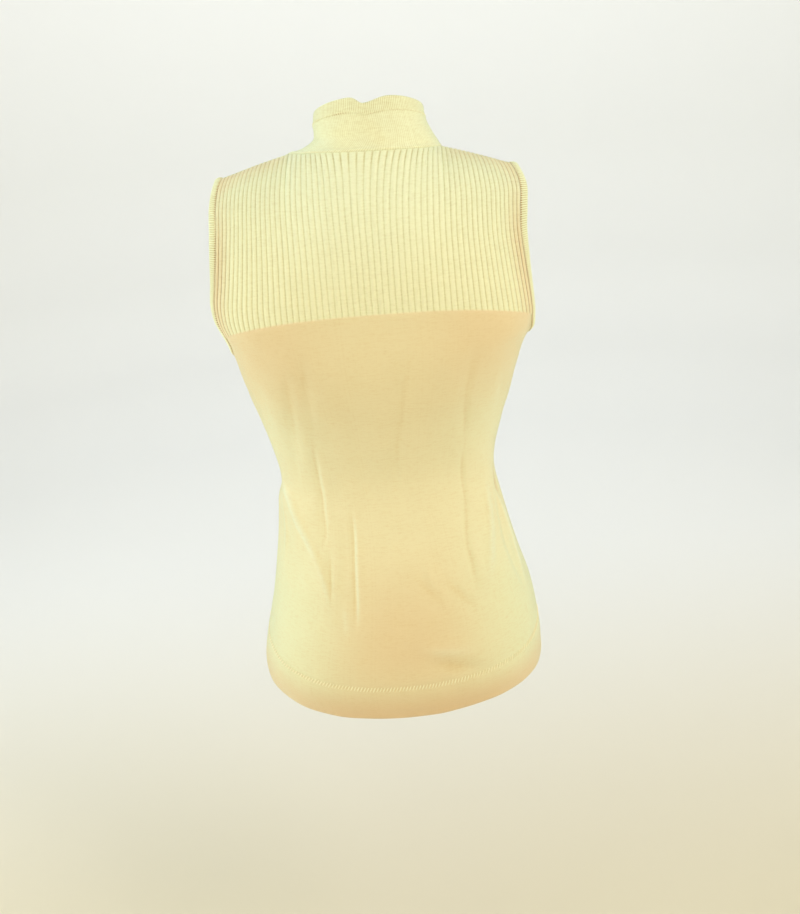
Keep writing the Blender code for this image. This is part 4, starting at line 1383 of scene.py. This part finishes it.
def band_finish(name):
    """Knit that lies across the band, with painted shade between its wales and a dotted line of painted warm shade
    where it is linked to the panel.
    """
    knit = Knit(name)
    # Painted shade in the valleys between the band's wales.
    band_valley_shade = (knit.wale.fraction() - 0.5).size().ramp(0.18, 0.5)
    # Painted warm shade along the seam where the band is linked to the panel, dotted by the valleys.
    linked = 1 - knit.course.ramp(0.5, 1.9)
    ground = knit.mix(linked * 0.6, RIB_CREST, ARMHOLE_PAINTED_SHADE)
    shade_tone = knit.mix(linked, OLIVE_SHADE, BROWN_SHADE)
    shade = knit.unevenness() + band_valley_shade * 0.9 + linked * (band_valley_shade * 0.5 + 0.3)
    return knit.dress(ground, shade_tone, shade, knit.inside, gap=0.10)


def yarn_finish(name, tone, dark=0.0):
    """Yarn of a stitch, with its twist and fibres."""
    finish = Finish(name)
    fibres = finish.noise(1600, 2.0)
    patches = finish.noise(60, 1.0)
    base = finish.mix(((fibres - 0.35) * 0.5 + (patches - 0.5) * 0.3 + dark).held(), tone, TAN_SHADE)
    bump = finish.node("ShaderNodeBump", {}, {"Strength": 0.4, "Distance": 0.0002, "Height": fibres})
    rough = 0.8 + (fibres - 0.5) * 0.2
    finish.feed(Base_Color=base, Roughness=rough, Normal=bump, Sheen_Weight=0.3, Specular_IOR_Level=0.25)
    return finish.material


def paper_finish(name, near, far):
    """Matt paper with painted shade: a little warmer and darker where it lies under the garment and on the camera's
    side.
    """
    finish = Finish(name)
    finish.feed(Base_Color=finish.mix(finish.place(1).ramp(-1.5, 0.1), far, near), Roughness=0.9)
    return finish.material


# ---------------------------------------------------------------- making

back_form, front_form = panel_form("back"), panel_form("front")
share_shoulders(back_form, front_form)
ribs, stitches = rib_maker(), stitch_maker()


def sew(name, points, outward, raised, yarn, sizes, closed=False):
    """A row of stitches along a line that is raised off the cloth."""
    line = sewing_line(name, points + outward * raised, outward, closed)
    return work(line, stitches, yarn, **sizes)


panel_knit = panel_finish("butter yellow knit, ribbed and plain")
collar_knit = collar_finish("butter yellow collar knit")
band_knit = band_finish("butter yellow band knit")
# Painted light: the linking yarn is painted paler than the knit, against the shade that falls on its raised strokes.
link_yarn_painted_light = yarn_finish("linking yarn", colour((252, 247, 212)))
collar_yarn = yarn_finish("collar yarn", RIB_CREST, 0.08)
seam_yarn = yarn_finish("seam yarn", PLAIN_KNIT, 0.15)

back = work(panel("back_panel", back_form), ribs, panel_knit, Rib_height=RIB_HEIGHT, Roundness=0.5)
front = work(panel("front_panel", front_form), ribs, panel_knit, Rib_height=RIB_HEIGHT, Roundness=0.5)
collar_piece, collar_form = collar()
collar_piece = work(collar_piece, ribs, collar_knit, Rib_height=0.0, Roundness=1.0)
bands, band_forms = [], []
for name, end in (("armhole_band_left_knit", -1), ("armhole_band_right_knit", 0)):
    band, form = armhole_band(name, end, back_form, front_form)
    bands.append(work(band, ribs, band_knit, Rib_height=BAND_RIB, Roundness=0.6))
    band_forms.append(form)

HEM_STITCH = {"Pitch": 0.0037, "Length": 0.0076, "Width": 0.0014, "Height": 0.0010}
HEM_LEAN = {"back": 1.15, "front": -1.15}
SEAM_STITCH = {"Pitch": 0.0030, "Length": 0.0046, "Width": 0.0012, "Height": 0.0010, "Lean": 1.2}
PICK_UP_STITCH = {"Pitch": 0.0026, "Length": 0.0024, "Width": 0.0010, "Height": 0.0008, "Lean": 1.4}
BAND_STITCH = {"Pitch": 0.0024, "Length": 0.0019, "Width": 0.0009, "Height": 0.0007, "Lean": 1.3}
# How far each row's line stands off the form, where the side seams' stitches lie on the inside
HEM_RAISED, SEAM_RAISED, PICK_UP_RAISED, BAND_RAISED = 0.0004, 0.0023, 0.0001, 0.0012
BAND_LINK_OUT = 0.0003
ABOVE_PICK_UP = 0.012

back_sewing, front_sewing, collar_sewing, band_sewing = [], [], [], []
for face, form, sewing in (("back", back_form, back_sewing), ("front", front_form, front_sewing)):
    plain, plain_n = form["plain"], form["plain_normals"]
    row, sizes = len(HEM_LEVELS) - 1, {**HEM_STITCH, "Lean": HEM_LEAN[face]}
    sewing.append(sew("hem_link_" + face, plain[row, 2:-2], plain_n[row, 2:-2], HEM_RAISED, link_yarn_painted_light, sizes))
    for side, inner in (("left", -3), ("right", 2)):
        name = "side_seam_%s_%s" % (side, face)
        line, inwards = plain[2:-1, inner], -plain_n[2:-1, inner]
        sewing.append(sew(name, line, inwards, SEAM_RAISED, seam_yarn, SEAM_STITCH))

near_fold = int(np.argmin(np.abs(collar_form["rise"] - PICK_UP - ABOVE_PICK_UP)))
line, outward = collar_form["rings"][near_fold], collar_form["normals"][near_fold]
pick_up = sew("collar_pick_up", line, outward, PICK_UP_RAISED, collar_yarn, PICK_UP_STITCH, closed=True)
collar_sewing.append(pick_up)
for side, form in zip(("left", "right"), band_forms):
    line, outward = (form["points"] + form["out"] * BAND_LINK_OUT)[::3], form["normals"][::3]
    link = sew("band_link_" + side, line, outward, BAND_RAISED, collar_yarn, BAND_STITCH, closed=True)
    band_sewing.append(link)

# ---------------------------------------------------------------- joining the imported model

made = (
    (back, "back", back_sewing),
    (front, "front", front_sewing),
    (collar_piece, "collar", collar_sewing),
    (bands[0], "armhole_band_left", band_sewing[:1]),
    (bands[1], "armhole_band_right", band_sewing[1:]),
)
for piece, node, sewing in made:
    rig.replaces(piece, node)
    for part in (piece, *sewing):
        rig.ride(part, "root")
        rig.slot(part, node)

panels = ["back_panel", "front_panel"]
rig.sheet(back, flat=(0.40, 0.67), area=0.245, held="hung", rests_on=panels[1:], with_pieces=back_sewing)
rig.sheet(front, flat=(0.40, 0.67), area=0.243, held="hung", rests_on=panels[:1], with_pieces=front_sewing)
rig.sheet(collar_piece, flat=(0.38, 0.06), area=0.0205, held="hung", rests_on=panels, with_pieces=collar_sewing)
for band, sewing in zip(bands, band_sewing):
    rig.sheet(band, flat=(0.0105, 0.47), area=0.0042, held="hung", rests_on=panels, with_pieces=[sewing])

# ---------------------------------------------------------------- studio and camera


def studio():
    """A pale round cove under and round the top."""
    floor = [(0.001, -1.25), (1.2, -1.25), (2.3, -1.25), (2.8, -1.16)]
    wall = [(3.1, -0.90), (3.22, -0.5), (3.25, 0.4), (3.25, 2.4)]
    sides = 96
    form = bmesh.new()
    rings = []
    for radius, height in floor + wall:
        turn = [2 * math.pi * i / sides for i in range(sides)]
        rings.append([form.verts.new((radius * math.cos(a), radius * math.sin(a), height)) for a in turn])
    for low, high in zip(rings, rings[1:]):
        for i in range(sides):
            form.faces.new((low[i], low[(i + 1) % sides], high[(i + 1) % sides], high[i]))
    form.faces.new(rings[0])
    for face in form.faces:
        face.smooth = True
    mesh = bpy.data.meshes.new("cove")
    form.to_mesh(mesh)
    form.free()
    cove = bpy.data.objects.new("cove", mesh)
    bpy.context.scene.collection.objects.link(cove)
    mesh.materials.append(paper_finish("pale studio paper", colour((215, 207, 181)), colour((231, 233, 232))))
    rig.stage(cove)


def lamp(name, place, size, watts, tone, aim=(0, 0, -0.25)):
    """A soft rectangular lamp turned towards its aim."""
    light = bpy.data.lights.new(name, "AREA")
    light.shape, light.size, light.size_y = "RECTANGLE", size[0], size[1]
    light.energy, light.color = watts, tone
    item = bpy.data.objects.new(name, light)
    item.location = place
    item.rotation_euler = (Vector(aim) - Vector(place)).to_track_quat("-Z", "Y").to_euler()
    item.visible_camera = False
    bpy.context.scene.collection.objects.link(item)


studio()
lamp("left softbox", (1.9, 0.0, 0.1), (1.6, 2.0), 28, (0.96, 1.0, 0.99))
lamp("right softbox", (-1.9, 0.0, 0.1), (1.6, 2.0), 15, (1.0, 0.96, 0.84))
lamp("high left lamp", (1.3, 1.1, 1.5), (0.8, 0.8), 3.5, (0.90, 1.0, 0.85))
lamp("high right lamp", (-1.3, 1.1, 1.5), (0.8, 0.8), 17, (1.0, 0.95, 0.88))
lamp("high lamp behind", (0.0, 0.8, 1.5), (0.9, 0.6), 3.7, (0.90, 1.0, 0.75))
lamp("softbox beside the camera", (0.0, 2.0, 0.2), (1.6, 1.2), 19.0, (1.0, 0.92, 0.81))
lamp("background softbox", (0.0, -1.4, 1.7), (2.6, 1.0), 47, (0.94, 0.955, 1.0), (0, -3.2, -0.4))

world = bpy.data.worlds.new("studio air")
world.use_nodes = True
world.node_tree.nodes["Background"].inputs["Color"].default_value = (1.0, 0.985, 0.93, 1)
world.node_tree.nodes["Background"].inputs["Strength"].default_value = 0.02
bpy.context.scene.world = world

PLACE = Vector((-0.011, 1.2072, 0.1905))
TILT, ROLL = math.radians(24), math.radians(4.6)
# The lens in the photograph's own pixels, and the sensor in millimetres
FOCAL_PIXELS, PHOTO_HEIGHT, SENSOR = 1150, 914, 36
forward = Vector((0, -math.cos(TILT), -math.sin(TILT)))
level_right = Vector((-1, 0, 0))
level_down = forward.cross(level_right)
right = level_right * math.cos(ROLL) + level_down * math.sin(ROLL)
down = level_down * math.cos(ROLL) - level_right * math.sin(ROLL)
lens = bpy.data.cameras.new("camera")
lens.lens, lens.sensor_width, lens.sensor_fit = FOCAL_PIXELS * SENSOR / PHOTO_HEIGHT, SENSOR, "AUTO"
lens.clip_start, lens.clip_end = 0.05, 30
camera = bpy.data.objects.new("camera", lens)
turned = Matrix((right, -down, -forward)).transposed().to_4x4()
camera.matrix_world = Matrix.Translation(PLACE) @ turned
bpy.context.scene.collection.objects.link(camera)
bpy.context.scene.camera = camera
bpy.context.scene.view_settings.view_transform = "Standard"

with open("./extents.json", "w") as out:
    json.dump({"cad": [list(map(float, c)) for c in cad_box], "visual": [list(map(float, c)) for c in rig.bounds()]}, out)
